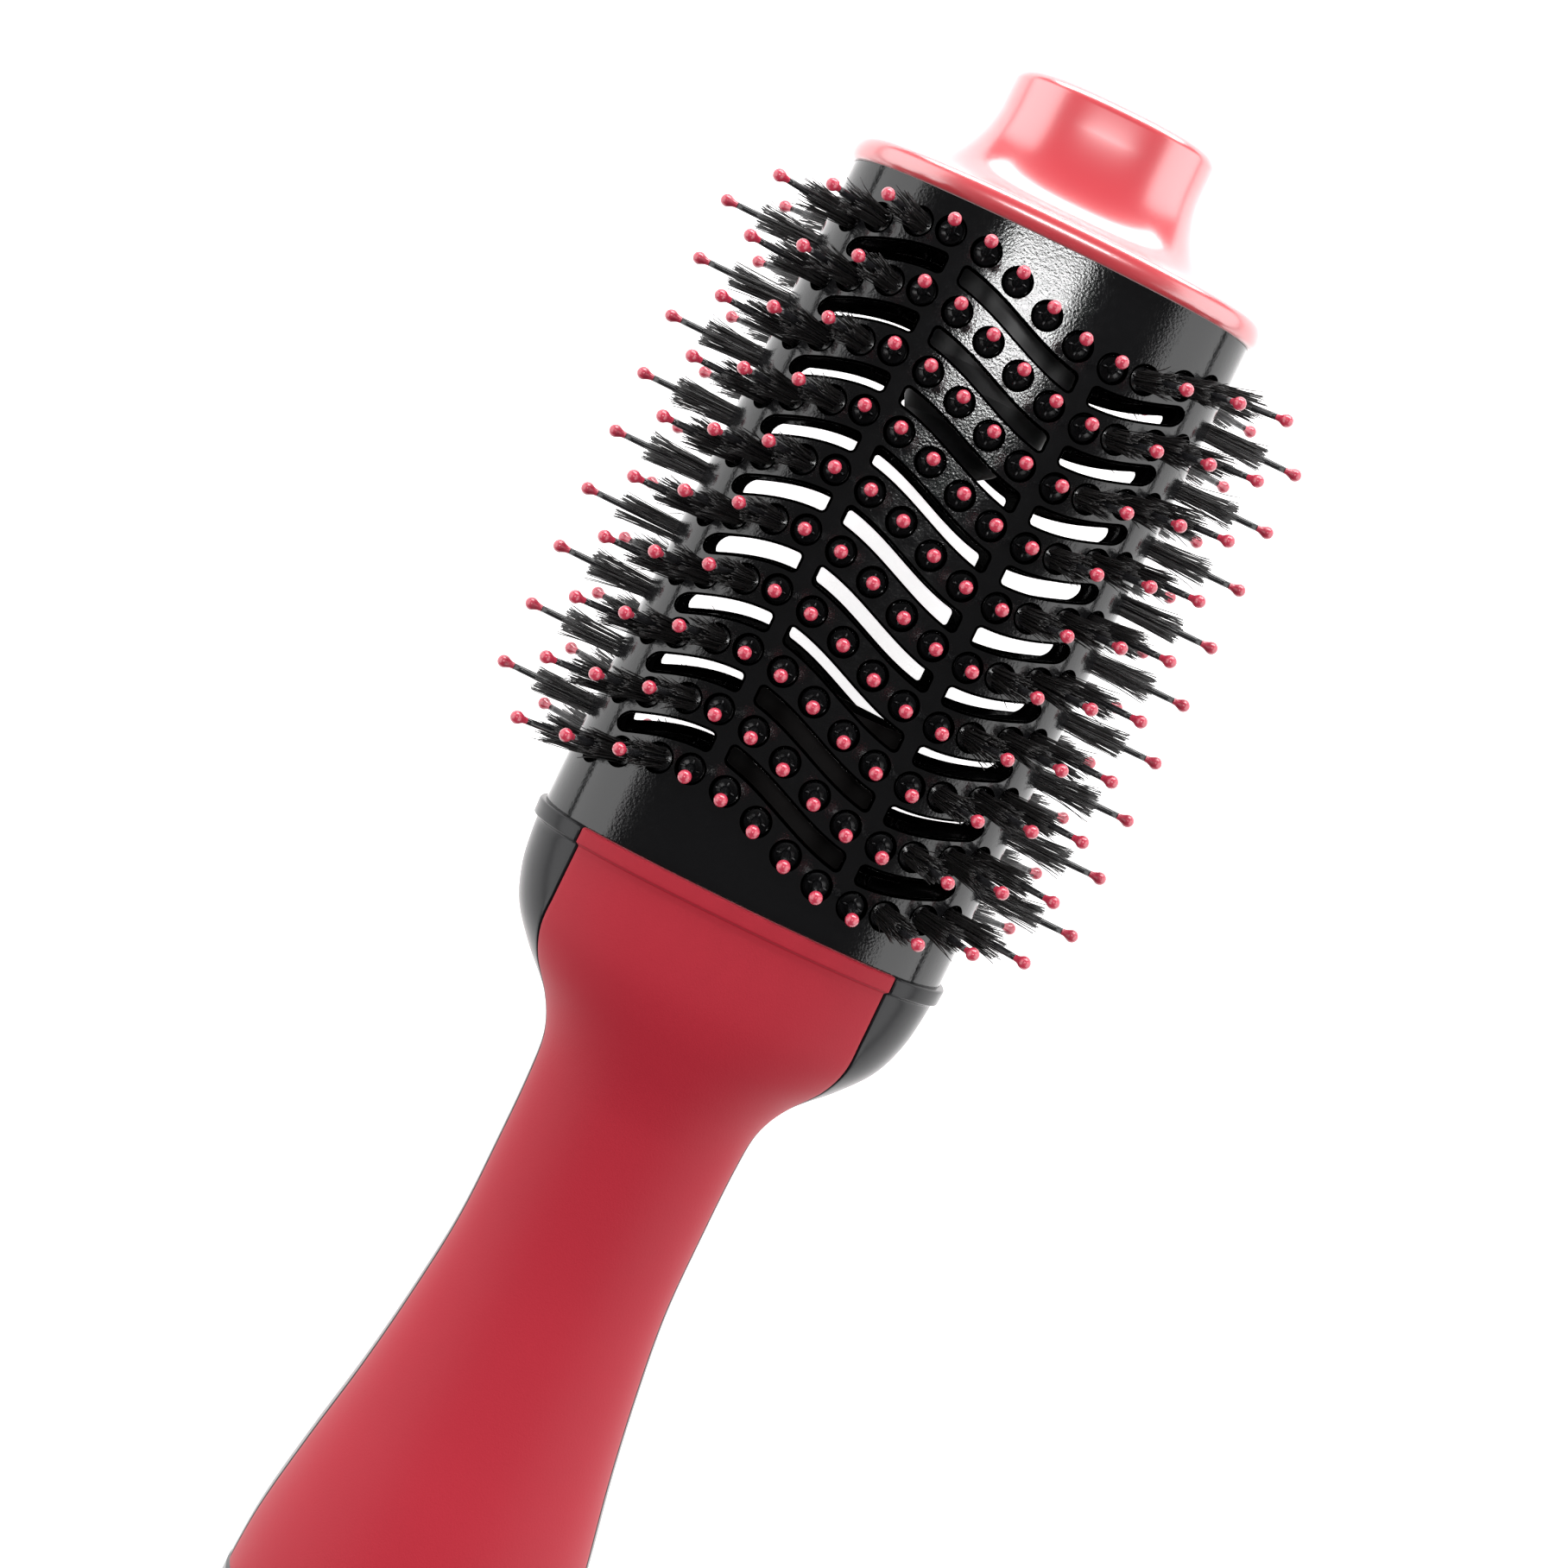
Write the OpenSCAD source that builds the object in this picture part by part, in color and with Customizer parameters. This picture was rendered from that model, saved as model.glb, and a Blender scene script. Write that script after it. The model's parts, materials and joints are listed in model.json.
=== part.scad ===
// Hot-air styling brush: an oval, slotted barrel with pins and bristle tufts on a waisted handle.
// It lies along X, with its cool tip towards +X, its left side towards +Y and its front face up.
// A station is a distance along the brush, counted from the outer face of the cool tip.

/* [Barrel] */
// Half-width of the oval barrel
barrel_hw = 37.6; // [36.8:0.1:38]
// Half-depth of the oval barrel
barrel_hd = 20; // [19.8:0.1:20.6]
// Radius of the oval's two narrow sides
side_r = 17; // [16.6:0.1:17.2]
// Wall of the barrel shells
barrel_wall = 2; // [1.8:0.1:2.1]
// Length of the barrel between the cool tip and the collar
barrel_len = 121.7; // [120:0.1:128]

/* [Pins and slots] */
// How far the pins stand out of the barrel
pin_out = 18; // [14:0.1:20]
// Radius of a pin
pin_r = 0.6; // [0.5:0.05:0.8]
// Radius of a pin's ball tip
tip_r = 1.15; // [0.9:0.05:1.4]
// Rows of pins round the barrel
rows = 10; // [6:1:10]
// Distance from one row to the next
row_pitch = 11.05; // [10.7:0.05:11.4]
// How far a row swings along the barrel
wave_amp = 4.5; // [0:0.1:4.7]
// Width of an air slot along the barrel
slot_h = 3.1; // [2:0.1:3.4]
// How far the bristle tufts stand out of the barrel
tuft_out = 11; // [8:0.5:13]

/* [Cool tip] */
// Height of the crown above the flange
crown_h = 22.8; // [21:0.1:25]
// Half-width of the crown's end
crown_hw = 19.3; // [17:0.1:21]
// Half-depth of the crown's end
crown_hd = 13.2; // [12:0.1:14]
// Thickness of the flange
flange_t = 4.2; // [3.6:0.1:5]

/* [Handle] */
// Length of the handle covers
handle_len = 140.3; // [140:0.1:142]
// Wall of the handle covers and cheeks
cover_wall = 2.2; // [2:0.1:2.4]
// Length of the selector ring
ring_len = 20; // [19:0.5:22]
// Outer radius of the selector ring
ring_r = 30; // [29.5:0.1:31]
// Length of the domed end cap
end_len = 25; // [24:0.5:28]
// How far the cord gland stands out of the end cap
gland_out = 16; // [12:0.5:20]
// Radius of the cord's hole in the gland
cord_r = 3.6; // [3:0.1:4.5]

/* [Hidden] */

LEFT = 1;
RIGHT = -1;
FRONT = 1;
BACK = -1;
round_fn = 64;
fit_gap = 0.1;
seam_gap = 0.1;
run_gap = 0.05;
clear_gap = 0.3;

// Stations of the main joints between pieces
flange_s = crown_h;
barrel_s = flange_s + flange_t;
collar_s = barrel_s + barrel_len;
ring_s = collar_s + handle_len;
end_s = ring_s + ring_len;
gland_s = end_s + end_len;
total_len = gland_s + gland_out;

// The barrel's oval: two narrow arcs round (+-side_c, 0) and two broad arcs that are tangent to them
side_c = barrel_hw - side_r;
face_r = (side_c * side_c + barrel_hd * barrel_hd - side_r * side_r) / (2 * (barrel_hd - side_r));
face_c = face_r - barrel_hd;
tangent_dir = [side_c, face_c] / (face_r - side_r);

// Pins across a broad face
face_pin_y = [-17.1, -10.26, -3.42, 3.42, 10.26, 17.1];
// Pins round a narrow side: the centre that each points from, its angle, and the barrel's radius there
mid_pin = [side_c, 0, side_r];
side_pins = [[side_c, 40, side_r], [side_c, 60, side_r], [side_c - 4, 70, side_r + 1.15]];
pattern_mid_s = barrel_s + barrel_len / 2 - 1.05;
wave_hw = 33;
socket_r = 2.3;
boss_r = socket_r - fit_gap;
boss_sunk = 0.8;
strip_t = 1.4;
strip_hw = 2.6;
strip_end_y = 19.5;
axis_h = face_z(3.42) + pin_out;

// Slots: a middle one between two spines, and one on each side with a round outer end
slot_mid_y = 12.3;
slot_side_y = [15.8, 31.4];

// The handle's outer form: station after the collar, half-width, half-depth, squareness, panel's half-width
HANDLE = [
    [0, 37.8, 20.9, 2.4, 28.6],
    [6, 37.4, 21.7, 2.4, 28.6],
    [12, 36.4, 22.5, 2.38, 28.6],
    [18, 34, 22.7, 2.35, 28.5],
    [23.5, 29.6, 21.9, 2.3, 26.8],
    [29.5, 23.8, 20.2, 2.25, 23],
    [35.5, 20.7, 18.5, 2.2, 20.3],
    [42, 19.9, 17.4, 2.2, 19.5],
    [56, 19.7, 17, 2.2, 19.3],
    [71, 19.95, 17.6, 2.2, 19.55],
    [86, 21.6, 19.6, 2.15, 21.2],
    [101, 23.9, 22.4, 2.1, 23.5],
    [116, 26.8, 25.9, 2.05, 26.4],
    [130.5, 29.2, 28.8, 2, 28.8],
    [142.5, 30, 30, 2, 29.6]
];
rim_out = 0.85;
rim_len = 3;
cover_steps = 16;
cheek_steps = 6;
handle_rings = 22;

// Inner pieces
sleeve_r = 15.6;
sleeve_t = 0.6;
duct_t = 1.2;
wire_r = 0.7;
shaft_r = 1;
motor_r = 12;
seat_r = 25;

function x_at(s) = total_len / 2 - s;
function face_z(y) = sqrt(face_r * face_r - y * y) - face_c;
function wave(y) = abs(y) < wave_hw ? wave_amp * sin(180 * y / wave_hw) : 0;
function row_s(i) = pattern_mid_s + row_pitch * (i - (rows - 1) / 2);
function signed_pow(v, p) = sign(v) * pow(abs(v), p);

// ---- Placing helpers ----

// Extrudes a (Y, Z) outline, drawn about the brush's axis, from one station to another
module along_x(s0, s1) {
    translate([x_at(s1), 0, axis_h])
        rotate([90, 0, 90])
            linear_extrude(s1 - s0)
                children();
}

// Revolves an outline of (radius, station) points about the brush's axis
module turned(points, from_a = 0, sweep_a = 360) {
    translate([x_at(0), 0, axis_h])
        rotate([0, -90, 0])
            rotate([0, 0, from_a])
                rotate_extrude(angle = sweep_a, $fn = round_fn)
                    polygon(points);
}

// A plain ring about the brush's axis
module turned_ring(s0, s1, r_in, r_out) {
    turned([[r_in, s0], [r_out, s0], [r_out, s1], [r_in, s1]]);
}

// Puts its children, drawn up +Z, at a side pin's centre, pointing out along the pin
module on_side(side, x, pin, face = FRONT) {
    translate([x, side * pin[0], axis_h])
        rotate([-side * (90 - face * pin[1]), 0, 0])
            children();
}

// Mirrors its children to the back of the brush
module to_face(face) {
    if (face == FRONT) children();
    else translate([0, 0, axis_h]) mirror([0, 0, 1]) translate([0, 0, -axis_h]) children();
}

// ---- Solids from rings of points ----

// A solid with the given rings of points as its skin, each end closed by a fan
module ring_solid(rings) {
    n = len(rings[0]);
    m = len(rings);
    walls = [
        for (i = [0:m - 2], k = [0:n - 1])
            let (a = i * n + k, b = i * n + (k + 1) % n)
            each [[a, b, b + n], [a, b + n, a + n]]
    ];
    first_end = [for (k = [n - 1:-1:0]) k];
    last_end = [for (k = [0:n - 1]) (m - 1) * n + k];
    polyhedron([for (r = rings) each r], concat(walls, [first_end], [last_end]), convexity = 8);
}

// A curved plate: each ring is an outer arc of n points followed by the inner arc in reverse
module plate_solid(rings) {
    n = len(rings[0]);
    m = len(rings);
    last = (m - 1) * n;
    walls = [
        for (i = [0:m - 2], k = [0:n - 1])
            let (a = i * n + k, b = i * n + (k + 1) % n)
            each [[a, b, b + n], [a, b + n, a + n]]
    ];
    first_end = [for (k = [0:n / 2 - 2]) each [[k, n - 1 - k, k + 1], [k + 1, n - 1 - k, n - 2 - k]]];
    last_end = [for (f = first_end) [f[0] + last, f[2] + last, f[1] + last]];
    polyhedron([for (r = rings) each r], concat(walls, first_end, last_end), convexity = 8);
}

// A round wire through points, closed at both ends
function wire_ring(p, dir, r, n) =
    let (side = cross(dir, [0, 0, 1]), u = side / norm(side), v = cross(u, dir) / norm(dir))
    [for (k = [0:n - 1]) p + r * (cos(360 * k / n) * u + sin(360 * k / n) * v)];

module wire(points, r, n = 8) {
    last = len(points) - 1;
    ring_solid([
        for (i = [0:last])
            let (dir = points[min(i + 1, last)] - points[max(i - 1, 0)])
            wire_ring(points[i], dir, r, n)
    ]);
}

// ---- Cool tip ----

function oval_ring_points(s, hw, hd, squareness, n = 36) = [
    for (k = [0:n - 1])
        let (a = 360 * k / n)
        [x_at(s), hw * signed_pow(cos(a), 2 / squareness), axis_h + hd * signed_pow(sin(a), 2 / squareness)]
];

// The crown meets the flange in one hollow sweep
crown_squareness = 2.4;
sweep_power = 0.8;
sweep_from_s = 6;
function crown_ring(a, inset) =
    let (k = pow(cos(a), sweep_power), flange_hw = barrel_hw + 0.2, flange_hd = barrel_hd + 0.2)
    oval_ring_points(
        sweep_from_s + (flange_s - sweep_from_s) * sin(a) + inset,
        flange_hw - (flange_hw - crown_hw) * k - inset,
        flange_hd - (flange_hd - crown_hd) * k - inset,
        crown_squareness
    );

cap_wall = 2;
edge_r = 2.4;
function crown_edge_ring(a) =
    oval_ring_points(
        edge_r * (1 - sin(a)), crown_hw - edge_r * (1 - cos(a)), crown_hd - edge_r * (1 - cos(a)), crown_squareness
    );
function flange_edge_ring(a) =
    oval_ring_points(
        flange_s + flange_t / 2 - flange_t / 2 * cos(a),
        barrel_hw + 0.2 + 1.2 * sin(a), barrel_hd + 0.2 + 1.2 * sin(a), crown_squareness
    );

module cool_tip_cap() {
    color("#e84b5a")
        ring_solid(concat(
            [oval_ring_points(0, crown_hw - 5, crown_hd - 5, crown_squareness)],
            [for (a = [90:-22.5:0]) crown_edge_ring(a)],
            [for (a = [0:12:84]) crown_ring(a, 0)],
            [for (a = [30:30:150]) flange_edge_ring(a)],
            [oval_ring_points(barrel_s, barrel_hw - 2.4, barrel_hd - 2.4, crown_squareness)],
            [for (a = [72:-18:0]) crown_ring(a, cap_wall)],
            [oval_ring_points(cap_wall, crown_hw - cap_wall - 1, crown_hd - cap_wall - 1, crown_squareness)]
        ));
}

// Moulded insert that fills the crown's mouth and takes the cap screws
insert_s = [17.5, 28];
insert_hd = 13.6;
post_y = 9;
screw_r = 1.2;
module cap_insert() {
    color("#2a2a2c")
        difference() {
            union() {
                along_x(insert_s[0], insert_s[1])
                    for (side = [LEFT, RIGHT])
                        translate([side * post_y, 0]) circle(r = 3, $fn = round_fn);
                along_x(insert_s[1] - 3, insert_s[1])
                    oval_outline(barrel_hd - insert_hd);
            }
            cap_screw_holes(insert_s[0] - 1, insert_s[1] + 1);
        }
}

module cap_screw_holes(s0, s1) {
    along_x(s0, s1)
        for (side = [LEFT, RIGHT])
            translate([side * post_y, 0]) circle(r = screw_r, $fn = round_fn);
}

// Plate that closes the barrel under the cool tip
plate_s = [insert_s[1], 29.5];
module barrel_end_plate() {
    color("#1c1c1e")
        difference() {
            along_x(plate_s[0], plate_s[1]) oval_outline(barrel_wall + fit_gap);
            cap_screw_holes(plate_s[0] - 1, plate_s[1] + 1);
        }
}

module cap_screws() {
    color("silver")
        for (side = [LEFT, RIGHT])
            translate([0, side * post_y, 0]) {
                turned([[0, 20], [screw_r, 20], [screw_r, plate_s[1]], [0, plate_s[1]]]);
                turned([[0, plate_s[1]], [2.2, plate_s[1]], [2.2, 31.4], [0, 31.4]]);
            }
}

// Cone that turns the air out towards the slots
deflector_s = [33, 69];
deflector_r = 15;
module air_deflector() {
    color("#161617")
        turned([
            [0, plate_s[1]], [3, plate_s[1]], [3, deflector_s[0]], [deflector_r, deflector_s[0]],
            [deflector_r, deflector_s[0] + 14],
            for (a = [10:10:80]) [deflector_r * cos(a), deflector_s[0] + 14 + (deflector_s[1] - deflector_s[0] - 14) * sin(a)],
            [0, deflector_s[1]]
        ]);
}

// ---- Barrel ----

// Half of the oval as an outline of points, for plates that fill the barrel
arc_steps = 12;
tangent_a = atan2(face_c, side_c);
function oval_quarter(inset) = concat(
    [for (k = [0:arc_steps])
        let (a = tangent_a * k / arc_steps)
        [side_c + (side_r - inset) * cos(a), (side_r - inset) * sin(a)]],
    [for (k = [1:arc_steps])
        let (a = tangent_a + (90 - tangent_a) * k / arc_steps)
        [(face_r - inset) * cos(a), (face_r - inset) * sin(a) - face_c]]
);
module oval_outline(inset) {
    quarter = oval_quarter(inset);
    last = len(quarter) - 1;
    polygon(concat(
        quarter,
        [for (k = [last - 1:-1:0]) [-quarter[k][0], quarter[k][1]]],
        [for (k = [1:last]) [-quarter[k][0], -quarter[k][1]]],
        [for (k = [last - 1:-1:1]) [quarter[k][0], -quarter[k][1]]]
    ));
}

// The front half of an oval wall, between two insets, in true arcs that meet on their common radius,
// where a core inside the wall ties them into one piece
module half_oval_wall(s0, s1, outer, inner, gap) {
    reach = 1.2 * face_r;
    along_x(s0, s1)
        intersection() {
            translate([0, -face_c]) ring_2d(face_r - outer, face_r - inner);
            polygon([
                [0, -face_c],
                [reach * tangent_dir[0], reach * tangent_dir[1] - face_c],
                [-reach * tangent_dir[0], reach * tangent_dir[1] - face_c]
            ]);
        }
    for (side = [LEFT, RIGHT])
        along_x(s0, s1)
            intersection() {
                translate([side * side_c, 0]) ring_2d(side_r - outer, side_r - inner);
                polygon([
                    [side * side_c, 0],
                    [side * (side_c + 3 * side_r * tangent_dir[0]), 3 * side_r * tangent_dir[1]],
                    [side * (side_c + 3 * side_r), 3 * side_r * tangent_dir[1]],
                    [side * (side_c + 3 * side_r), gap],
                    [side * side_c, gap]
                ]);
            }
    mid_r = side_r - (outer + inner) / 2;
    along_x(s0, s1)
        for (side = [LEFT, RIGHT])
            translate([side * (side_c + mid_r * tangent_dir[0]), mid_r * tangent_dir[1]])
                square((inner - outer) / 2, center = true);
}

module ring_2d(r_out, r_in) {
    difference() {
        circle(r = r_out, $fn = 4 * round_fn);
        circle(r = r_in, $fn = 4 * round_fn);
    }
}

// A slot from y0 to y1 that follows the wave, with a round end where round_end is 1
function slot_half(y, y1, round_end) =
    let (r = slot_h / 2, past = y - (y1 - r))
    round_end == 1 && past > 0 ? r * sqrt(max(0, 1 - past * past / (r * r))) : r;
function slot_side_points(y0, y1, round_end, side) =
    let (ys = concat([for (k = [0:8]) y0 + (y1 - slot_h / 2 - y0) * k / 8], [for (a = [22.5:22.5:90]) y1 - slot_h / 2 * (1 - sin(a))]))
    concat(
        [for (y = ys) [wave(side * y) + slot_half(y, y1, round_end), side * y]],
        [for (k = [len(ys) - 1 - round_end:-1:0]) [wave(side * ys[k]) - slot_half(ys[k], y1, round_end), side * ys[k]]]
    );
function slot_mid_points() = concat(
    [for (k = [-6:6]) let (y = slot_mid_y * k / 6) [wave(y) + slot_h / 2, y]],
    [for (k = [6:-1:-6]) let (y = slot_mid_y * k / 6) [wave(y) - slot_h / 2, y]]
);

module slot_cutters() {
    for (i = [0:rows - 2])
        translate([x_at(row_s(i + 0.5)), 0, axis_h + 2])
            linear_extrude(barrel_hd + 2) {
                polygon(slot_mid_points());
                for (side = [LEFT, RIGHT])
                    polygon(slot_side_points(slot_side_y[0], slot_side_y[1], 1, side));
            }
}

module socket_cutters() {
    for (i = [0:rows - 1], y = face_pin_y)
        translate([x_at(row_s(i)) + wave(y), y, axis_h + 2])
            cylinder(h = barrel_hd, r = socket_r, $fn = round_fn);
    for (i = [0:rows - 1], side = [LEFT, RIGHT], pin = side_pins)
        on_side(side, side_pin_x(i, side, pin), pin)
            translate([0, 0, pin[2] - 5]) cylinder(h = 8, r = socket_r, $fn = round_fn);
    for (i = [0:rows - 2], side = [LEFT, RIGHT])
        on_side(side, x_at(row_s(i + 0.5)), mid_pin)
            translate([0, 0, side_r - 5]) cylinder(h = 8, r = socket_r, $fn = round_fn);
}

function side_pin_x(i, side, pin) = x_at(row_s(i)) + wave(side * (pin[0] + pin[2] * cos(pin[1])));

// Ridge along the parting line
ridge_s = [35, 137];
module barrel_shell(face) {
    color("#111113")
        to_face(face)
            difference() {
                union() {
                    half_oval_wall(barrel_s, collar_s, 0, barrel_wall, seam_gap / 2);
                    along_x(ridge_s[0], ridge_s[1])
                        for (side = [LEFT, RIGHT])
                            translate([side * (barrel_hw - 0.1) - 0.5, seam_gap / 2]) square([1, 0.5]);
                }
                slot_cutters();
                socket_cutters();
            }
}

module barrel_front_shell() {
    barrel_shell(FRONT);
}

module barrel_back_shell() {
    barrel_shell(BACK);
}

// ---- Pins and tufts ----

module pin(from_h, to_h) {
    translate([0, 0, from_h]) cylinder(h = to_h - tip_r - from_h, r = pin_r, $fn = 24);
    translate([0, 0, to_h - tip_r]) sphere(r = tip_r, $fn = 24);
}

// One wavy strip under a broad face, with a boss and a pin for each socket
strip_y = [for (k = [-8:8]) strip_end_y * k / 8];
module face_strip(i) {
    under_r = face_r - barrel_wall - seam_gap;
    intersection() {
        along_x(row_s(i) - row_pitch, row_s(i) + row_pitch)
            intersection() {
                translate([0, -face_c]) ring_2d(under_r, under_r - strip_t);
                translate([-barrel_hw, 0]) square([2 * barrel_hw, barrel_hd]);
            }
        translate([x_at(row_s(i)), 0, axis_h])
            linear_extrude(barrel_hd)
                polygon(concat(
                    [for (y = strip_y) [wave(y) + strip_hw, y]],
                    [for (k = [len(strip_y) - 1:-1:0]) [wave(strip_y[k]) - strip_hw, strip_y[k]]]
                ));
    }
    for (y = face_pin_y)
        translate([x_at(row_s(i)) + wave(y), y, axis_h + face_z(y)])
            boss_and_pin();
}

module pin_strips(face) {
    color("#1a1a1c")
        to_face(face)
            for (i = [0:rows - 1])
                face_strip(i);
}

module front_pin_strips() {
    pin_strips(FRONT);
}

module back_pin_strips() {
    pin_strips(BACK);
}

// A boss with its pin, drawn up +Z from the barrel's surface
module boss_and_pin() {
    translate([0, 0, -barrel_wall - strip_t / 2])
        cylinder(h = barrel_wall + strip_t / 2 - boss_sunk, r = boss_r, $fn = round_fn);
    pin(-boss_sunk - 0.2, pin_out);
}

module inner_oval_wall(s0, s1) {
    for (face = [FRONT, BACK])
        to_face(face)
            half_oval_wall(s0, s1, barrel_wall + seam_gap, barrel_wall + seam_gap + strip_t, 0);
}

// One wavy strip that bends round a narrow side, with three pins towards each face
side_strip_y = [for (k = [0:8]) strip_end_y + 0.7 + (barrel_hw - strip_end_y - 0.7) * k / 8];
module side_strip(side, i) {
    intersection() {
        inner_oval_wall(row_s(i) - row_pitch, row_s(i) + row_pitch);
        translate([x_at(row_s(i)), 0, 0])
            linear_extrude(2 * axis_h)
                polygon(concat(
                    [for (y = side_strip_y) [wave(side * y) + strip_hw, side * y]],
                    [for (k = [len(side_strip_y) - 1:-1:0])
                        [wave(side * side_strip_y[k]) - strip_hw, side * side_strip_y[k]]]
                ));
    }
    for (pin = side_pins, face = [FRONT, BACK])
        on_side(side, side_pin_x(i, side, pin), pin, face)
            translate([0, 0, pin[2]]) boss_and_pin();
}

// A short strip on the parting plane, between two rows, with one pin
mid_strip_h = 10;
module mid_strip(side, i) {
    intersection() {
        inner_oval_wall(row_s(i + 0.5) - strip_hw, row_s(i + 0.5) + strip_hw);
        translate([x_at(row_s(i + 0.5)), side * barrel_hw, axis_h]) cube([row_pitch, 2 * side_r, mid_strip_h], center = true);
    }
    on_side(side, x_at(row_s(i + 0.5)), mid_pin)
        translate([0, 0, side_r]) boss_and_pin();
}

module side_strips(side) {
    color("#1a1a1c") {
        for (i = [0:rows - 1])
            side_strip(side, i);
        for (i = [0:rows - 2])
            mid_strip(side, i);
    }
}

module left_pin_strips() {
    side_strips(LEFT);
}

module right_pin_strips() {
    side_strips(RIGHT);
}

// A bristle tuft round a side pin, as one plain hollow cone
tuft_root_r = 1.9;
tuft_end_r = 2.3;
tuft_bore_r = pin_r + fit_gap;
module tuft(from_r) {
    rotate_extrude($fn = 24)
        polygon([
            [tuft_bore_r, from_r - boss_sunk], [tuft_root_r, from_r - boss_sunk],
            [tuft_end_r, from_r + tuft_out], [tuft_bore_r, from_r + tuft_out]
        ]);
}

module tufts(side) {
    color("#0c0c0d") {
        for (i = [0:rows - 1], pin = side_pins, face = [FRONT, BACK])
            on_side(side, side_pin_x(i, side, pin), pin, face) tuft(pin[2]);
        for (i = [0:rows - 2])
            on_side(side, x_at(row_s(i + 0.5)), mid_pin) tuft(side_r);
    }
}

module left_tufts() {
    tufts(LEFT);
}

module right_tufts() {
    tufts(RIGHT);
}

// ---- Collar and heater ----

web_s = [145.5, 147.5];
module collar_ring() {
    inset = barrel_wall + fit_gap;
    color("#151516")
        difference() {
            union() {
                for (face = [FRONT, BACK])
                    to_face(face) {
                        half_oval_wall(collar_s - 5, collar_s + 0.2, inset, inset + 2, 0);
                        half_oval_wall(collar_s + 0.2, collar_s + 6, inset + 0.5, inset + 2, 0);
                    }
                along_x(web_s[0], web_s[1])
                    difference() {
                        oval_outline(inset + 1);
                        circle(r = sleeve_r + fit_gap, $fn = round_fn);
                    }
            }
            cover_screw_holes(screw_r);
        }
}

sleeve_s = [112, 174];
lead_s = 160;
module mica_sleeve() {
    color("#6a655c")
        difference() {
            turned_ring(sleeve_s[0], sleeve_s[1], sleeve_r - sleeve_t, sleeve_r);
            translate([x_at(lead_s), 0, axis_h])
                rotate([90, 0, 0])
                    cylinder(h = 3 * sleeve_r, r = wire_r + 0.3, center = true, $fn = 24);
        }
}

// Two mica boards, halved into each other, that carry the winding
board_s = [116, 172];
board_hw = 13.4;
board_t = 0.8;
module heater_board(is_wide) {
    mid_s = (board_s[0] + board_s[1]) / 2;
    slit_s = is_wide ? [mid_s, board_s[1] + 1] : [board_s[0] - 1, mid_s];
    color("#c9bfa6")
        difference() {
            along_x(board_s[0], board_s[1])
                square(is_wide ? [2 * board_hw, board_t] : [board_t, 2 * board_hw], center = true);
            along_x(slit_s[0], slit_s[1])
                square(board_t + 0.1, center = true);
        }
}

module heater_board_wide() {
    heater_board(true);
}

module heater_board_tall() {
    heater_board(false);
}

coil_turns = 10;
coil_wire_r = 0.4;
coil_steps = 12;
module heater_coil() {
    coil_r = board_hw + coil_wire_r + 0.1;
    turn_pitch = (board_s[1] - board_s[0] - 8) / coil_turns;
    color("#b08d6a")
        wire(
            [for (k = [0:coil_turns * coil_steps])
                let (a = 360 * k / coil_steps)
                [x_at(board_s[0] + 4 + turn_pitch * k / coil_steps), coil_r * cos(a), axis_h + coil_r * sin(a)]],
            coil_wire_r, 5
        );
}

module thermostat() {
    color("silver")
        translate([x_at(board_s[1] - 8), 6.5, axis_h + board_t / 2]) cylinder(h = 3, r = 4.5, $fn = round_fn);
}

module thermal_fuse() {
    color("#d8d2c4")
        translate([x_at(150), -6.5, axis_h + board_t / 2 + 1.6])
            rotate([0, 90, 0]) cylinder(h = 11, r = 1.6, $fn = 24);
}

// Two leads that run down the sides between duct and covers, from the switch to the heater
lead_route = [
    [282.6, 25.2], [276, 25], [270, 24.7], [262, 21.2], [250, 19.3], [240, 18.7], [224, 16.4],
    [205, 16.2], [188, 16.3], [182, 18], [176, 19.6], [168, 20.3], [162.5, 19.8], [lead_s, 17.6], [lead_s, 15]
];
module heater_leads() {
    color("#e8e4da")
        for (side = [LEFT, RIGHT])
            wire([for (p = lead_route) [x_at(p[0]), side * p[1], axis_h]], wire_r);
}

// Rectifier board on the left of the heater
pcb_s = [156, 169];
pcb_y = 21.8;
module control_board() {
    color("#2f6b3c")
        translate([x_at(pcb_s[1]), pcb_y, axis_h - 9]) cube([pcb_s[1] - pcb_s[0], 1.4, 18]);
}

module board_diodes() {
    color("#222224")
        for (k = [0:3])
            translate([x_at(pcb_s[1] - 3), pcb_y + 1.4 + 1.3, axis_h - 6 + 4 * k])
                rotate([0, 90, 0]) cylinder(h = 5, r = 1.3, $fn = 24);
}

// ---- Air duct, motor and fan ----

duct_outline = [[17, 168], [17, 177], [14.4, 188], [14.4, 224], [17.4, 240], [17.4, 262], [23.8, 270], [23.8, 286]];
// Station, height and radius of the holes for the motor leads
motor_lead_hole = [230.3, 3.6, 3.4];
module duct_half(from_a) {
    color("#3a3a3d")
        difference() {
            turned(
                concat(
                    duct_outline,
                    [for (k = [len(duct_outline) - 1:-1:0]) duct_outline[k] - [duct_t, 0]]
                ),
                from_a, 179
            );
            translate([x_at(motor_lead_hole[0]), 0, axis_h + motor_lead_hole[1]])
                rotate([90, 0, 0]) cylinder(h = 60, r = motor_lead_hole[2], center = true, $fn = 24);
        }
}

// The duct's halves meet on the plane between front and back
module duct_front_half() {
    duct_half(-89.5);
}

module duct_back_half() {
    duct_half(90.5);
}

mount_s = [252, 257];
module motor_mount() {
    spoke_reach = 17.4 - duct_t - fit_gap;
    color("#4a4a4e")
        along_x(mount_s[0], mount_s[1])
            union() {
                ring_2d(motor_r + 1.8, motor_r + fit_gap / 2);
                for (a = [30:120:270])
                    rotate(a) translate([motor_r + 1, -1.2]) square([spoke_reach - motor_r - 1, 2.4]);
            }
}

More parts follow.
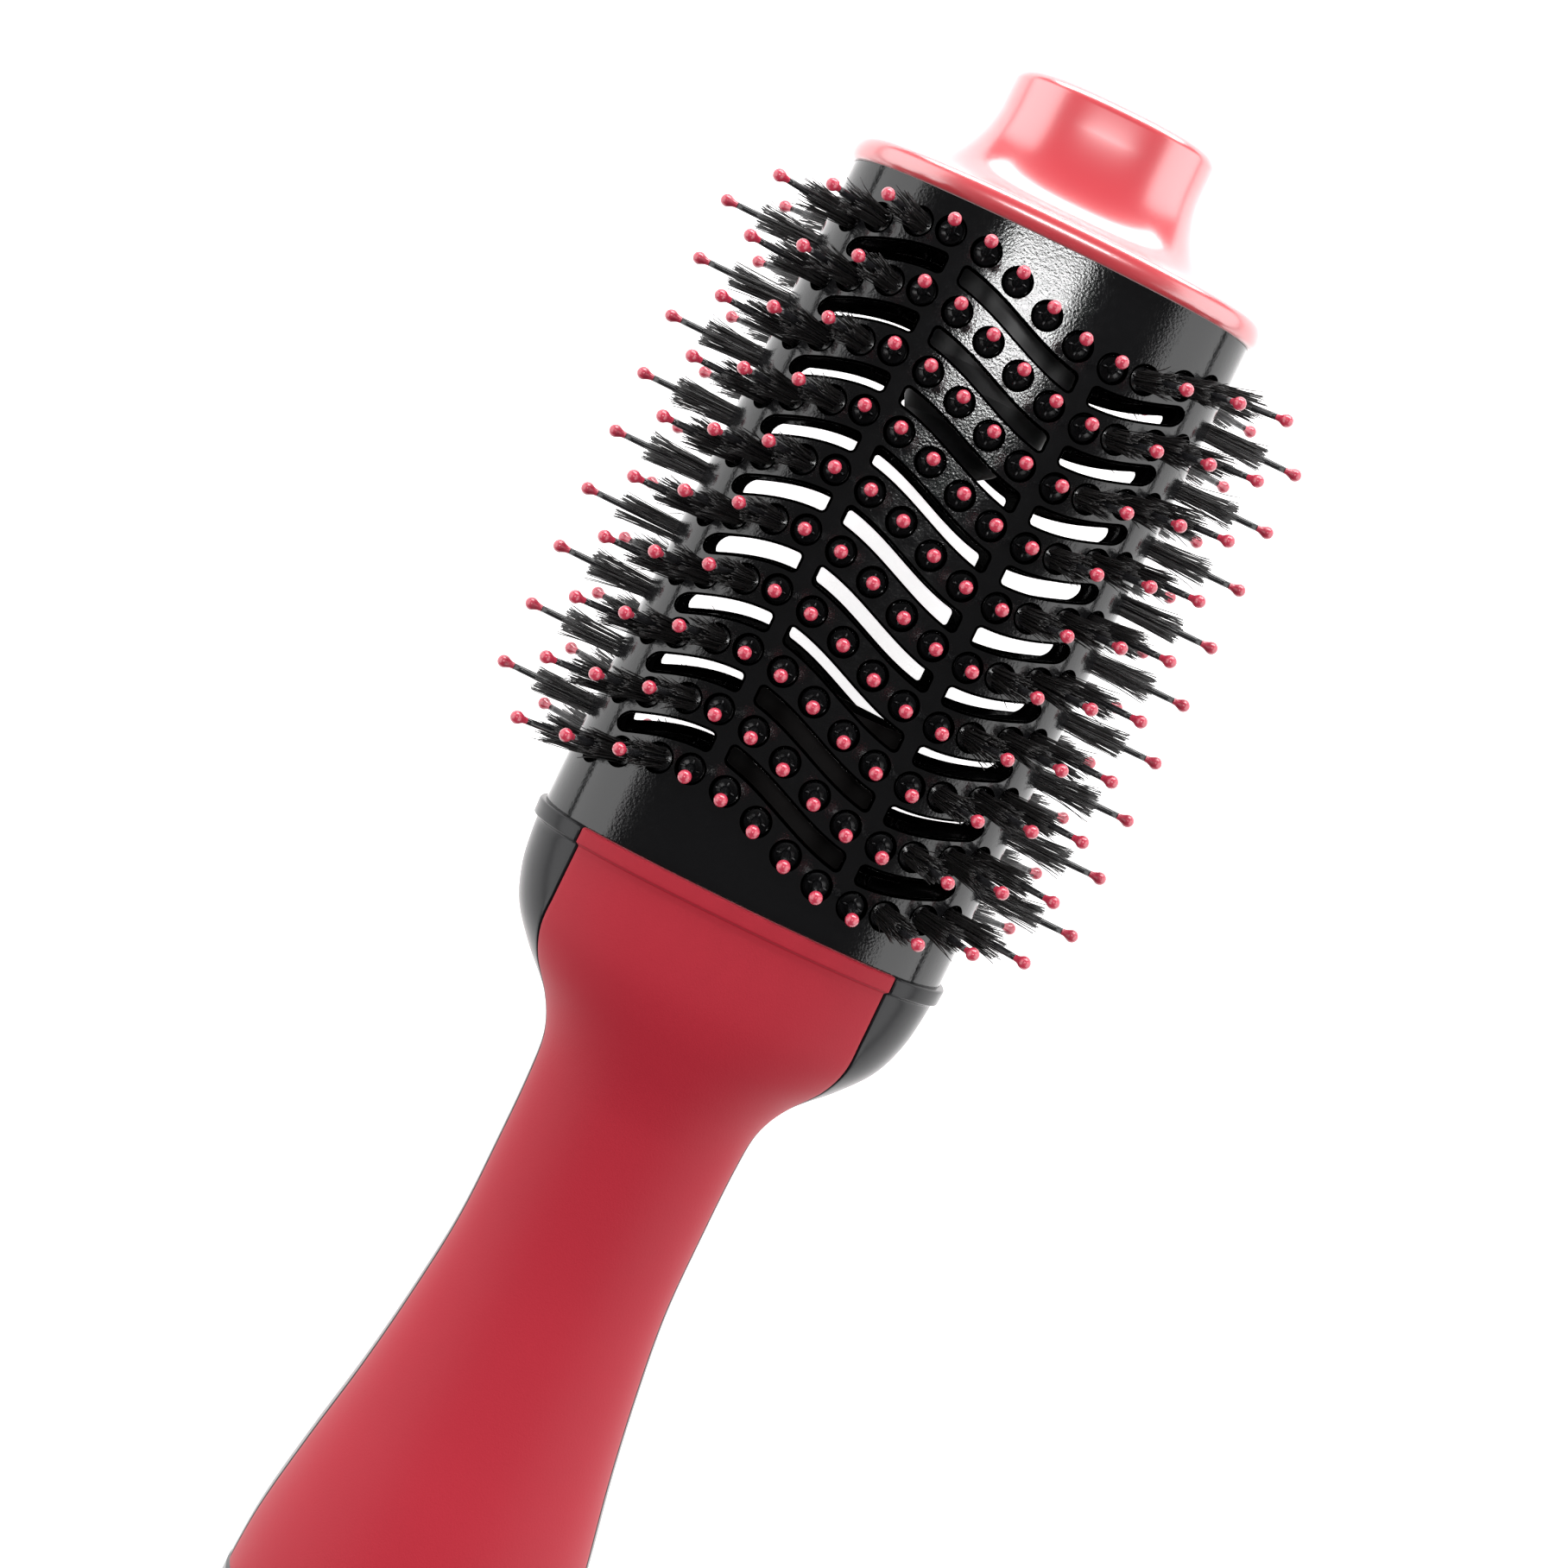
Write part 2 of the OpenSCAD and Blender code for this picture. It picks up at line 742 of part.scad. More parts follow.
motor_s = [242, 266];
bush_r = 3;
can_t = 0.9;
bell_s = [239.5, 242];
module motor_can() {
    color("#9a9da1")
        turned([
            [motor_r - can_t, motor_s[0]], [motor_r, motor_s[0]], [motor_r, motor_s[1] + can_t],
            [bush_r, motor_s[1] + can_t], [bush_r, motor_s[1]], [motor_r - can_t, motor_s[1]]
        ]);
}

module motor_end_bell() {
    color("#e9e6dd")
        turned_ring(bell_s[0], bell_s[1], bush_r, motor_r);
}

module motor_bushes() {
    color("#b5894a") {
        turned_ring(bell_s[0], bell_s[1], shaft_r + run_gap, bush_r);
        turned_ring(motor_s[1], motor_s[1] + can_t, shaft_r + run_gap, bush_r);
    }
}

module motor_magnets() {
    color("#4b4b4d")
        for (from_a = [20, 200])
            turned([
                [9, motor_s[0] + 3], [motor_r - can_t, motor_s[0] + 3],
                [motor_r - can_t, motor_s[1] - 2], [9, motor_s[1] - 2]
            ], from_a, 140);
}

core_s = [248, 261];
core_r = 8.5;
module rotor_core() {
    color("#8c6a4d")
        along_x(core_s[0], core_s[1])
            difference() {
                circle(r = core_r, $fn = round_fn);
                circle(r = shaft_r, $fn = round_fn);
                for (a = [0:120:240])
                    rotate(a) translate([core_r - 4, -1]) square([5, 2]);
            }
}

module commutator() {
    color("#c07a45")
        turned_ring(243, 247, shaft_r, 2.6);
}

shaft_s = [239, 284];
module motor_shaft() {
    color("silver")
        turned([[0, shaft_s[0]], [shaft_r, shaft_s[0]], [shaft_r, shaft_s[1]], [0, shaft_s[1]]]);
}

fan_s = [271.5, 281.5];
fan_r = 21.6;
hub_r = 6.5;
blades = 9;
blade_tilt = 38;
module fan_impeller() {
    color("#57575b") {
        turned_ring(fan_s[0], fan_s[1], shaft_r, hub_r);
        intersection() {
            turned_ring(fan_s[0] + 1, fan_s[1] - 1, hub_r - 0.5, fan_r);
            for (k = [0:blades - 1])
                translate([x_at((fan_s[0] + fan_s[1]) / 2), 0, axis_h])
                    rotate([360 * k / blades, 0, 0])
                        rotate([0, 0, blade_tilt])
                            translate([-8, -0.6, hub_r - 1]) cube([16, 1.2, fan_r]);
        }
    }
}

motor_lead_route = [[170, 20.6], [180, 18.8], [188, 16.3], [224, 16.3], [228, 16.2], [231.5, 14.2], [234, 12.4], [236, 10], [239.3, 8]];
module motor_leads() {
    color("#b33a3a")
        for (side = [LEFT, RIGHT])
            wire([
                for (p = motor_lead_route)
                    let (a = p[0] > 235 ? 0 : 14)
                    [x_at(p[0]), side * p[1] * cos(a), axis_h + p[1] * sin(a)]
            ], wire_r * 0.8);
}

// ---- Handle covers and cheeks ----

// A smooth curve through one column of HANDLE at distance h after the collar
function slope_at(k, col) =
    let (a = HANDLE[max(k - 1, 0)], b = HANDLE[min(k + 1, len(HANDLE) - 1)])
    (b[col] - a[col]) / (b[0] - a[0]);
function smooth(h, col, k = 0) =
    k < len(HANDLE) - 2 && h > HANDLE[k + 1][0] ? smooth(h, col, k + 1) :
    let (
        p = HANDLE[k], q = HANDLE[k + 1], d = q[0] - p[0], t = (h - p[0]) / d,
        m0 = slope_at(k, col) * d, m1 = slope_at(k + 1, col) * d
    )
    (2 * t * t * t - 3 * t * t + 1) * p[col] + (t * t * t - 2 * t * t + t) * m0
        + (3 * t * t - 2 * t * t * t) * q[col] + (t * t * t - t * t) * m1;

// Angle on the squared oval at which the panel's edge lies
function panel_a(h) = acos(pow(smooth(h, 4) / smooth(h, 1), smooth(h, 3) / 2));
function rim(h) = h < 0.2 ? rim_out / 2 : h < rim_len ? rim_out : 0;

function handle_point(h, a, out) =
    let (p = 2 / smooth(h, 3))
    [
        x_at(collar_s + h),
        (smooth(h, 1) + out) * signed_pow(cos(a), p),
        axis_h + (smooth(h, 2) + out) * signed_pow(sin(a), p)
    ];

handle_h = concat(
    [0, 0.4, rim_len - 0.3, rim_len + 0.3],
    [for (k = [1:handle_rings]) rim_len + 0.3 + (handle_len - 0.4 - rim_len - 0.3) * k / handle_rings]
);

// A stretch of the handle's wall between two angles, the second one depending on the panel's edge
function wall_ring(h, a0, a1, steps) = concat(
    [for (k = [0:steps]) handle_point(h, a0 + (a1 - a0) * k / steps, rim(h))],
    [for (k = [steps:-1:0]) handle_point(h, a0 + (a1 - a0) * k / steps, -cover_wall)]
);

seam_a = 0.2;
module cover() {
    plate_solid([for (h = handle_h) wall_ring(h, panel_a(h) + seam_a, 180 - panel_a(h) - seam_a, cover_steps)]);
}

module handle_front_cover() {
    color("#b22d3e")
        cover();
}

// Screws through the back cover: station and distance from the middle
screw_places = [[collar_s + 3.4, 13], [ring_s - 4, 11]];
head_r = 2.1;
head_t = 1.3;
shank_len = 4.2;

module handle_back_cover() {
    color("#b22d3e")
        difference() {
            to_face(BACK) cover();
            cover_screw_holes(screw_r + fit_gap);
            at_cover_screws()
                translate([0, 0, -3]) cylinder(h = 3 + head_t, r = head_r + fit_gap, $fn = 24);
        }
}

// Height of the handle's surface at a screw
function screw_z(p) =
    let (h = p[0] - collar_s, n = smooth(h, 3))
    smooth(h, 2) * pow(1 - pow(p[1] / smooth(h, 1), n), 1 / n);

module at_cover_screws() {
    for (p = screw_places, side = [LEFT, RIGHT])
        translate([x_at(p[0]), side * p[1], axis_h - screw_z(p)])
            children();
}

module cover_screw_holes(r) {
    at_cover_screws()
        cylinder(h = head_t + shank_len, r = r, $fn = 24);
}

module cover_screws() {
    color("#3c3c40")
        at_cover_screws() {
            cylinder(h = head_t, r = head_r, $fn = 24);
            translate([0, 0, head_t]) cylinder(h = shank_len, r = screw_r, $fn = 24);
        }
}

module cheek(side) {
    color("#19191b")
        translate([0, 0, axis_h]) rotate([side == LEFT ? 0 : 180, 0, 0]) translate([0, 0, -axis_h])
            plate_solid([for (h = handle_h) wall_ring(h, seam_a - panel_a(h), panel_a(h) - seam_a, cheek_steps)]);
}

module left_cheek() {
    cheek(LEFT);
}

module right_cheek() {
    cheek(RIGHT);
}

// ---- Selector ----

tail_s = [283, 311];
tail_in_r = 23.9;
tail_flange_r = 26.6;
window_s = [296, 302];
window_a = [75, 195];
peg_a = 90;
peg_w = 4;
module tail_sleeve() {
    color("#242426")
        difference() {
            turned([
                [tail_in_r, tail_s[0]], [tail_flange_r, tail_s[0]], [tail_flange_r, ring_s - 1.5],
                [seat_r, ring_s - 1.5], [seat_r, tail_s[1]], [tail_in_r, tail_s[1]]
            ]);
            turned([
                [tail_in_r - 1, window_s[0]], [seat_r + 1, window_s[0]],
                [seat_r + 1, window_s[1]], [tail_in_r - 1, window_s[1]]
            ], 90 - window_a[1], window_a[1] - window_a[0]);
            cover_screw_holes(screw_r);
        }
}

ring_s_in = [ring_s + clear_gap, end_s - clear_gap];
grip_r = 0.9;
grips = 30;
module selector_ring() {
    mid_s = (ring_s_in[0] + ring_s_in[1]) / 2;
    color("#1b1b1d") {
        difference() {
            turned([
                [seat_r + run_gap, ring_s_in[0]], [ring_r - 0.6, ring_s_in[0]], [ring_r, ring_s_in[0] + 0.6],
                [ring_r, ring_s_in[1] - 0.6], [ring_r - 0.6, ring_s_in[1]], [seat_r + run_gap, ring_s_in[1]]
            ]);
            for (k = [0:grips - 1])
                rotate_about_axis(360 * (k + 0.5) / grips)
                    translate([x_at(ring_s_in[1] - 3), 0, axis_h + ring_r + 0.2])
                        rotate([0, 90, 0]) cylinder(h = ring_len - 6 - 2 * clear_gap, r = grip_r, $fn = 24);
        }
        translate([x_at(mid_s), 0, axis_h + ring_r - 0.3]) cylinder(h = 0.8, r = 1.1, $fn = 24);
        peg();
    }
}

module rotate_about_axis(a) {
    translate([0, 0, axis_h]) rotate([a, 0, 0]) translate([0, 0, -axis_h]) children();
}

// Peg under the ring that reaches through the sleeve's window to the switch
peg_s = [297, 301];
module peg() {
    along_x(peg_s[0], peg_s[1])
        rotate(peg_a) translate([20, -peg_w / 2]) square([seat_r + 0.5 - 20, peg_w]);
}

rotor_s = [297.5, 300.5];
rotor_r = 11;
hub_pin_r = 2.5;
module switch_rotor() {
    color("#d9d5c8")
        along_x(rotor_s[0], rotor_s[1])
            difference() {
                union() {
                    circle(r = rotor_r, $fn = round_fn);
                    rotate(peg_a) translate([0, -4]) square([23, 8]);
                }
                circle(r = hub_pin_r + run_gap, $fn = round_fn);
                rotate(peg_a) translate([19.9, -peg_w / 2 - 0.1]) square([4, peg_w + 0.2]);
            }
}

base_s = [303, 306];
module switch_base() {
    color("#3b3b40") {
        along_x(base_s[0], base_s[1])
            union() {
                circle(r = rotor_r, $fn = round_fn);
                for (a = [30:120:270])
                    rotate(a) translate([rotor_r - 1, -1.6]) square([tail_in_r - fit_gap - rotor_r + 1, 3.2]);
            }
        turned([[0, rotor_s[0] - 1], [hub_pin_r, rotor_s[0] - 1], [hub_pin_r, base_s[0] + 0.5], [0, base_s[0] + 0.5]]);
    }
}

module switch_contacts() {
    color("#c9a24f")
        along_x(base_s[0] - 1.2, base_s[0])
            for (a = [0:90:270])
                rotate(a + 45) translate([5, -1]) square([4, 2]);
}

// Leaf that clicks against the rotor's edge, standing on the switch base
module detent_spring() {
    color("#b9bcc0")
        along_x(rotor_s[0], base_s[0])
            rotate(-90) translate([rotor_r + 0.4, -1.6]) square([0.5, 3.2]);
}

// ---- End cap, filter and gland ----

end_wall = 2;
neck_r = 9;
neck_s = [gland_s - 4, gland_s];
inlet_slots = 16;
slot_s = [end_s + 5, end_s + 16];
dome_r = 16;
function dome(a, inset) = [12.8 + dome_r * sin(a) - inset * sin(a), end_s + 9 + 15.9 * cos(a) - inset * cos(a)];
module end_cap() {
    color("#1b1b1d")
        difference() {
            turned(concat(
                [[seat_r + fit_gap, end_s], [ring_r - 0.8, end_s], [ring_r - 0.4, end_s + 1]],
                [for (a = [90:-15:0]) dome(a, 0)],
                [[neck_r + run_gap, gland_s - 0.1], [neck_r + run_gap, neck_s[0]], [12.8, neck_s[0]]],
                [for (a = [15:15:90]) dome(a, end_wall + 0.6)],
                [[26.6, end_s + 2.2], [seat_r + fit_gap, end_s + 2.2]]
            ));
            for (k = [0:inlet_slots - 1])
                rotate_about_axis(360 * k / inlet_slots)
                    translate([x_at(slot_s[1]), -1.2, axis_h + 17]) cube([slot_s[1] - slot_s[0], 2.4, 15]);
        }
}

module inlet_filter() {
    color("#8d9094")
        turned_ring(tail_s[1], tail_s[1] + 0.6, 6, seat_r);
}

circlip_s = [gland_s - 5.5, gland_s - 4.3];
groove_r = 8.2;
module swivel_gland() {
    color("#1b1b1d")
        turned([
            [cord_r, gland_s - 8], [neck_r, gland_s - 8], [neck_r, circlip_s[0]], [groove_r, circlip_s[0]],
            [groove_r, circlip_s[1]], [neck_r, circlip_s[1]], [neck_r, gland_s + clear_gap],
            [10.2, gland_s + clear_gap], [10.8, gland_s + 1.5], [10.4, gland_s + 6], [9.2, total_len - 3],
            [8, total_len - 0.6], [7, total_len], [cord_r, total_len]
        ]);
}

module gland_circlip() {
    color("#b9bcc0")
        turned([
            [groove_r, circlip_s[0]], [11.4, circlip_s[0]], [11.4, circlip_s[1]], [groove_r, circlip_s[1]]
        ], 20, 320);
}

cool_tip_cap();
cap_insert();
barrel_end_plate();
air_deflector();
cap_screws();
barrel_front_shell();
barrel_back_shell();
front_pin_strips();
back_pin_strips();
left_pin_strips();
right_pin_strips();
left_tufts();
right_tufts();
collar_ring();
mica_sleeve();
heater_board_wide();
heater_board_tall();
heater_coil();
thermostat();
thermal_fuse();
heater_leads();
control_board();
board_diodes();
duct_front_half();
duct_back_half();
motor_mount();
motor_can();
motor_end_bell();
motor_bushes();
motor_magnets();
rotor_core();
commutator();
motor_shaft();
fan_impeller();
motor_leads();
handle_front_cover();
handle_back_cover();
left_cheek();
right_cheek();
cover_screws();
tail_sleeve();
selector_ring();
switch_rotor();
switch_base();
switch_contacts();
detent_spring();
end_cap();
inlet_filter();
swivel_gland();
gland_circlip();
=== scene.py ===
import json
import math
import random

import bpy
from mathutils import Matrix, Vector
from mathutils.geometry import delaunay_2d_cdt


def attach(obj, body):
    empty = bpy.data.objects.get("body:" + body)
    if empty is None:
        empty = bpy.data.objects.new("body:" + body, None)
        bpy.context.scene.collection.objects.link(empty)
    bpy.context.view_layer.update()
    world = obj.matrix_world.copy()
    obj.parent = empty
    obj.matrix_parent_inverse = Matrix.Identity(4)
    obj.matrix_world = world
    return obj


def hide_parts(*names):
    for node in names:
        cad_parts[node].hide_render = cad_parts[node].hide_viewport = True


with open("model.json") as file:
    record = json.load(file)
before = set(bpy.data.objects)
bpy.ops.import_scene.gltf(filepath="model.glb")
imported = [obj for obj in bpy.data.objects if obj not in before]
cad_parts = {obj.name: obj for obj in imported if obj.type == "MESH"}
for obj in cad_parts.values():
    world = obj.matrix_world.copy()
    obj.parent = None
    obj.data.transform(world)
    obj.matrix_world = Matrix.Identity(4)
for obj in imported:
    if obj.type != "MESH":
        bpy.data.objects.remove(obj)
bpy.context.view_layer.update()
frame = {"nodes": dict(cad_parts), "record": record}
rng = random.Random(7)

# Lengths in this script are in millimetres; add_mesh() turns them into metres.
# X is along the brush with the cool tip towards +X, +Y is its left side, Z is up.
# A station is a distance from the cool tip's outer face.
MM = 0.001
TOTAL = 350.0
HALF_W, HALF_D, SIDE_R, WALL = 37.6, 20.0, 17.0, 2.0
SIDE_C = HALF_W - SIDE_R
FACE_R = (SIDE_C**2 + HALF_D**2 - SIDE_R**2) / (2 * (HALF_D - SIDE_R))
FACE_C = FACE_R - HALF_D
TURN_A = math.atan2(SIDE_C, FACE_C)
TURN_U = FACE_R * TURN_A
EDGE_U = TURN_U + SIDE_R * (math.pi / 2 - TURN_A)
PIN_OUT, TIP_R = 18.0, 1.15
AXIS_Z = math.sqrt(FACE_R**2 - 3.42**2) - FACE_C + PIN_OUT
BARREL_S, COLLAR_S = 27.0, 148.7
ROWS, PITCH = 10, 11.05
MID_S = (BARREL_S + COLLAR_S) / 2 - 1.05
WAVE_AMP, WAVE_HALF = 4.5, 33.0
FACE_PINS = (-17.1, -10.26, -3.42, 3.42, 10.26, 17.1)
# Pins round a narrow side: the Y they point from, their angle above the parting plane and
# the barrel's radius there
SIDE_PINS = ((SIDE_C, 40.0, SIDE_R), (SIDE_C, 60.0, SIDE_R), (SIDE_C - 4, 70.0, SIDE_R + 1.15))
STRIP_HALF = 2.6
SOCKET_R = 2.3
SLOT_H = 3.1
SLOT_MID_Y = 12.3
SLOT_SIDE_Y = (15.8, 31.4)
SLOT_CORNER = 0.7
TUFT_OUT = 11.0
TUFT_R = 1.85


def x_at(s):
    return TOTAL / 2 - s


def wave(y):
    return WAVE_AMP * math.sin(math.pi * y / WAVE_HALF) if abs(y) < WAVE_HALF else 0.0


def row_x(i):
    return x_at(MID_S + PITCH * (i - (ROWS - 1) / 2))


def add_mesh(name, verts, faces, body="brush_body", normals=None, smooth=True):
    """verts in mm, about the brush's axis. normals, one for each vertex, keep fillets and skins clean."""
    mesh = bpy.data.meshes.new(name)
    mesh.from_pydata([(x * MM, y * MM, (z + AXIS_Z) * MM) for x, y, z in verts], [], faces)
    mesh.update()
    for p in mesh.polygons:
        p.use_smooth = smooth
    if normals is not None:
        mesh.normals_split_custom_set_from_vertices([Vector(n).normalized() for n in normals])
    obj = bpy.data.objects.new(name, mesh)
    bpy.context.scene.collection.objects.link(obj)
    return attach(obj, body)


class Builder:
    """Collects vertices and faces of many small solids for one mesh."""

    def __init__(self):
        self.verts, self.faces, self.slots = [], [], []

    def add(self, verts, faces, slot=0):
        start = len(self.verts)
        self.verts += verts
        self.faces += [tuple(i + start for i in f) for f in faces]
        self.slots += [slot] * len(faces)

    def tube(self, rings, slot=0, cap_start=True, cap_end=True):
        """rings: equal closed rings of points, joined one to the next."""
        n = len(rings[0])
        faces = []
        for r in range(len(rings) - 1):
            for k in range(n):
                a, b = r * n + k, r * n + (k + 1) % n
                faces.append((a, b, b + n, a + n))
        if cap_start:
            faces.append(tuple(range(n - 1, -1, -1)))
        if cap_end:
            faces.append(tuple(range((len(rings) - 1) * n, len(rings) * n)))
        self.add([p for ring in rings for p in ring], faces, slot)

    def make(self, name, **more):
        obj = add_mesh(name, self.verts, self.faces, **more)
        for p, slot in zip(obj.data.polygons, self.slots):
            p.material_index = slot
        return obj

# ---- Materials ----


def shader(name):
    mat = bpy.data.materials.new(name)
    mat.use_nodes = True
    return mat, mat.node_tree, mat.node_tree.nodes["Principled BSDF"]


def node(tree, kind, **values):
    made = tree.nodes.new("ShaderNode" + kind)
    for key, value in values.items():
        if key in made.inputs:
            made.inputs[key].default_value = value
        else:
            setattr(made, key, value)
    return made


def finish(
    name, colour, rough, coat=0.0, coat_ior=1.5, coat_rough=0.2, grain=0.0, grain_scale=900.0,
    tone=0.06, metal=0.0, rough_spread=0.05, rough_scale=38.0, sheen=0.0, gloss=0.5,
):
    """A plain finish: a little uneven in tone and roughness, with fine grain in relief."""
    mat, tree, bsdf = shader(name)
    link = tree.links.new
    place = node(tree, "TexCoord")
    broad = node(tree, "TexNoise", Scale=38.0, Detail=4.0)
    link(place.outputs["Object"], broad.inputs["Vector"])
    shade = node(tree, "MapRange")
    shade.inputs["To Min"].default_value = 1 - tone
    shade.inputs["To Max"].default_value = 1 + tone
    link(broad.outputs["Fac"], shade.inputs["Value"])
    mix = node(tree, "MixRGB", blend_type="MULTIPLY", Fac=1.0, Color1=(*colour, 1))
    link(shade.outputs["Result"], mix.inputs["Color2"])
    link(mix.outputs["Color"], bsdf.inputs["Base Color"])
    spread = node(tree, "MapRange")
    spread.inputs["To Min"].default_value = max(0.02, rough - rough_spread)
    spread.inputs["To Max"].default_value = rough + rough_spread
    worn = node(tree, "TexNoise", Scale=rough_scale, Detail=4.0)
    link(place.outputs["Object"], worn.inputs["Vector"])
    link(worn.outputs["Fac"], spread.inputs["Value"])
    bsdf.inputs["Specular IOR Level"].default_value = gloss
    bsdf.inputs["Coat IOR"].default_value = coat_ior
    link(spread.outputs["Result"], bsdf.inputs["Roughness"])
    bsdf.inputs["Sheen Weight"].default_value = sheen
    bsdf.inputs["Sheen Roughness"].default_value = 0.45
    bsdf.inputs["Metallic"].default_value = metal
    bsdf.inputs["Coat Weight"].default_value = coat
    bsdf.inputs["Coat Roughness"].default_value = coat_rough
    if grain:
        fine = node(tree, "TexNoise", Scale=grain_scale, Detail=3.0)
        link(place.outputs["Object"], fine.inputs["Vector"])
        bump = node(tree, "Bump", Strength=grain, Distance=0.0002)
        link(fine.outputs["Fac"], bump.inputs["Height"])
        link(bump.outputs["Normal"], bsdf.inputs["Normal"])
    return mat


M = {
    "coral": finish(
        "coral_cap", (0.40, 0.010, 0.020), 0.4, coat=1.0, coat_ior=2.2, coat_rough=0.23, grain=0.04,
        tone=0.03, sheen=0.5, gloss=0.3,
    ),
    "barrel": finish(
        "barrel_gloss", (0.003, 0.003, 0.0034), 0.09, grain=0.10, grain_scale=2200.0,
        rough_spread=0.07, rough_scale=700.0, gloss=0.44,
    ),
    "pin_black": finish("pin_black", (0.008, 0.008, 0.009), 0.24, grain=0.04),
    "pin_tip": finish("pin_tip", (0.36, 0.022, 0.048), 0.34, coat=0.6, coat_rough=0.12, tone=0.04),
    "bristle": finish("bristle_dark", (0.010, 0.009, 0.009), 0.42, tone=0.3),
    "soft_red": finish(
        "soft_touch_red", (0.262, 0.0050, 0.0150), 0.62, grain=0.12, grain_scale=3200.0,
        tone=0.04, sheen=0.05, gloss=0.25,
    ),
    "cheek": finish("cheek_black", (0.005, 0.005, 0.006), 0.24, grain=0.03, gloss=0.24),
}

# The CAD pieces' finishes, by the record's material slots
SLOTS = {
    "coral_plastic": M["coral"],
    "gloss_black": M["barrel"],
    "pin_nylon": M["pin_black"],
    "bristle": M["bristle"],
    "soft_red": M["soft_red"],
    "black_plastic": finish("black_plastic", (0.012, 0.012, 0.013), 0.42, grain=0.08),
    "satin_black": finish("satin_black", (0.010, 0.010, 0.011), 0.28, grain=0.05),
    "mica": finish("mica", (0.006, 0.005, 0.005), 0.6, gloss=0.1, tone=0.25),
    "heater_wire": finish("heater_wire", (0.30, 0.24, 0.20), 0.45, metal=1.0, tone=0.2),
    "zinc_steel": finish("zinc_steel", (0.60, 0.61, 0.63), 0.34, metal=1.0),
    "bright_steel": finish("bright_steel", (0.70, 0.71, 0.73), 0.2, metal=1.0),
    "ceramic_white": finish("ceramic_white", (0.80, 0.77, 0.70), 0.25),
    "lead_white": finish("lead_white", (0.78, 0.76, 0.70), 0.5),
    "lead_red": finish("lead_red", (0.45, 0.04, 0.04), 0.5),
    "board_green": finish("board_green", (0.02, 0.13, 0.05), 0.4),
    "grey_plastic": finish("grey_plastic", (0.05, 0.05, 0.054), 0.45, grain=0.08),
    "cream_plastic": finish("cream_plastic", (0.72, 0.68, 0.58), 0.45, grain=0.05),
    "bronze": finish("bronze", (0.62, 0.40, 0.20), 0.3, metal=1.0),
    "magnet": finish("magnet", (0.05, 0.05, 0.055), 0.55, grain=0.2),
    "rotor_iron": finish("rotor_iron", (0.28, 0.16, 0.09), 0.4, metal=0.6, tone=0.2),
    "black_screw": finish("black_screw", (0.05, 0.05, 0.055), 0.35, metal=1.0),
    "filter_mesh": finish("filter_mesh", (0.35, 0.36, 0.37), 0.4, metal=1.0),
}

# ---- Barrel shells ----


def skin(u, depth):
    """(y, z, ny, nz) on the front half, u along the outline from the middle, depth under the surface."""
    side, v = math.copysign(1, u), abs(u)
    if v <= TURN_U:
        a, r, y0, z0 = v / FACE_R, FACE_R - depth, 0.0, -FACE_C
    else:
        a, r, y0, z0 = TURN_A + (v - TURN_U) / SIDE_R, SIDE_R - depth, SIDE_C, 0.0
    return side * (y0 + r * math.sin(a)), z0 + r * math.cos(a), side * math.sin(a), math.cos(a)


def u_at(y):
    v = abs(y)
    if v <= FACE_R * math.sin(TURN_A):
        u = FACE_R * math.asin(v / FACE_R)
    else:
        u = TURN_U + SIDE_R * (math.asin(min(1.0, (v - SIDE_C) / SIDE_R)) - TURN_A)
    return math.copysign(u, y)


def height(y, depth):
    """Height of the surface that lies depth under the skin, straight above y."""
    v = abs(y)
    if v <= (FACE_R - depth) * math.sin(TURN_A):
        return math.sqrt((FACE_R - depth) ** 2 - v * v) - FACE_C
    return math.sqrt(max(0.0, (SIDE_R - depth) ** 2 - (v - SIDE_C) ** 2))


def with_normals(points):
    """Outline points with their outward normals; the outline runs anticlockwise."""
    n = len(points)
    out = []
    for k in range(n):
        (ax, ay), (bx, by) = points[k - 1], points[(k + 1) % n]
        tx, ty = bx - ax, by - ay
        d = math.hypot(tx, ty)
        out.append((points[k][0], points[k][1], ty / d, -tx / d))
    return out


def slot_outline(x0, y0, y1, r0, r1, side):
    """A slot in plan from y0 to y1 with corner radii r0 and r1, bent along the wave."""
    h = SLOT_H / 2
    corners = (
        (y1 - r1, h - r1, r1, 90, 0), (y1 - r1, r1 - h, r1, 0, -90),
        (y0 + r0, r0 - h, r0, -90, -180), (y0 + r0, h - r0, r0, 180, 90),
    )
    path = []
    for cy, cq, r, a0, a1 in corners:
        for k in range(7):
            a = math.radians(a0 + (a1 - a0) * k / 6)
            path.append((cy + r * math.cos(a), cq + r * math.sin(a)))
    dense = []
    for k, (ya, qa) in enumerate(path):
        yb, qb = path[(k + 1) % len(path)]
        steps = max(1, round(math.hypot(yb - ya, qb - qa) / 1.0))
        dense += [(ya + (yb - ya) * j / steps, qa + (qb - qa) * j / steps) for j in range(steps)]
    clean = [p for k, p in enumerate(dense) if math.dist(p, dense[k - 1]) > 1e-6]
    points = [(x0 + wave(side * y) + q, side * y) for y, q in clean]
    area = sum(a[0] * b[1] - b[0] * a[1] for a, b in zip(points, points[1:] + points[:1]))
    return with_normals(points if area > 0 else points[::-1])


def circle_outline(x0, u0, r, n=28):
    return [
        (x0 + r * math.cos(a), u0 + r * math.sin(a), math.cos(a), math.sin(a))
        for a in (2 * math.pi * k / n for k in range(n))
    ]


def side_pin_x(i, side, pin):
    return row_x(i) + wave(side * (pin[0] + pin[2] * math.cos(math.radians(pin[1]))))


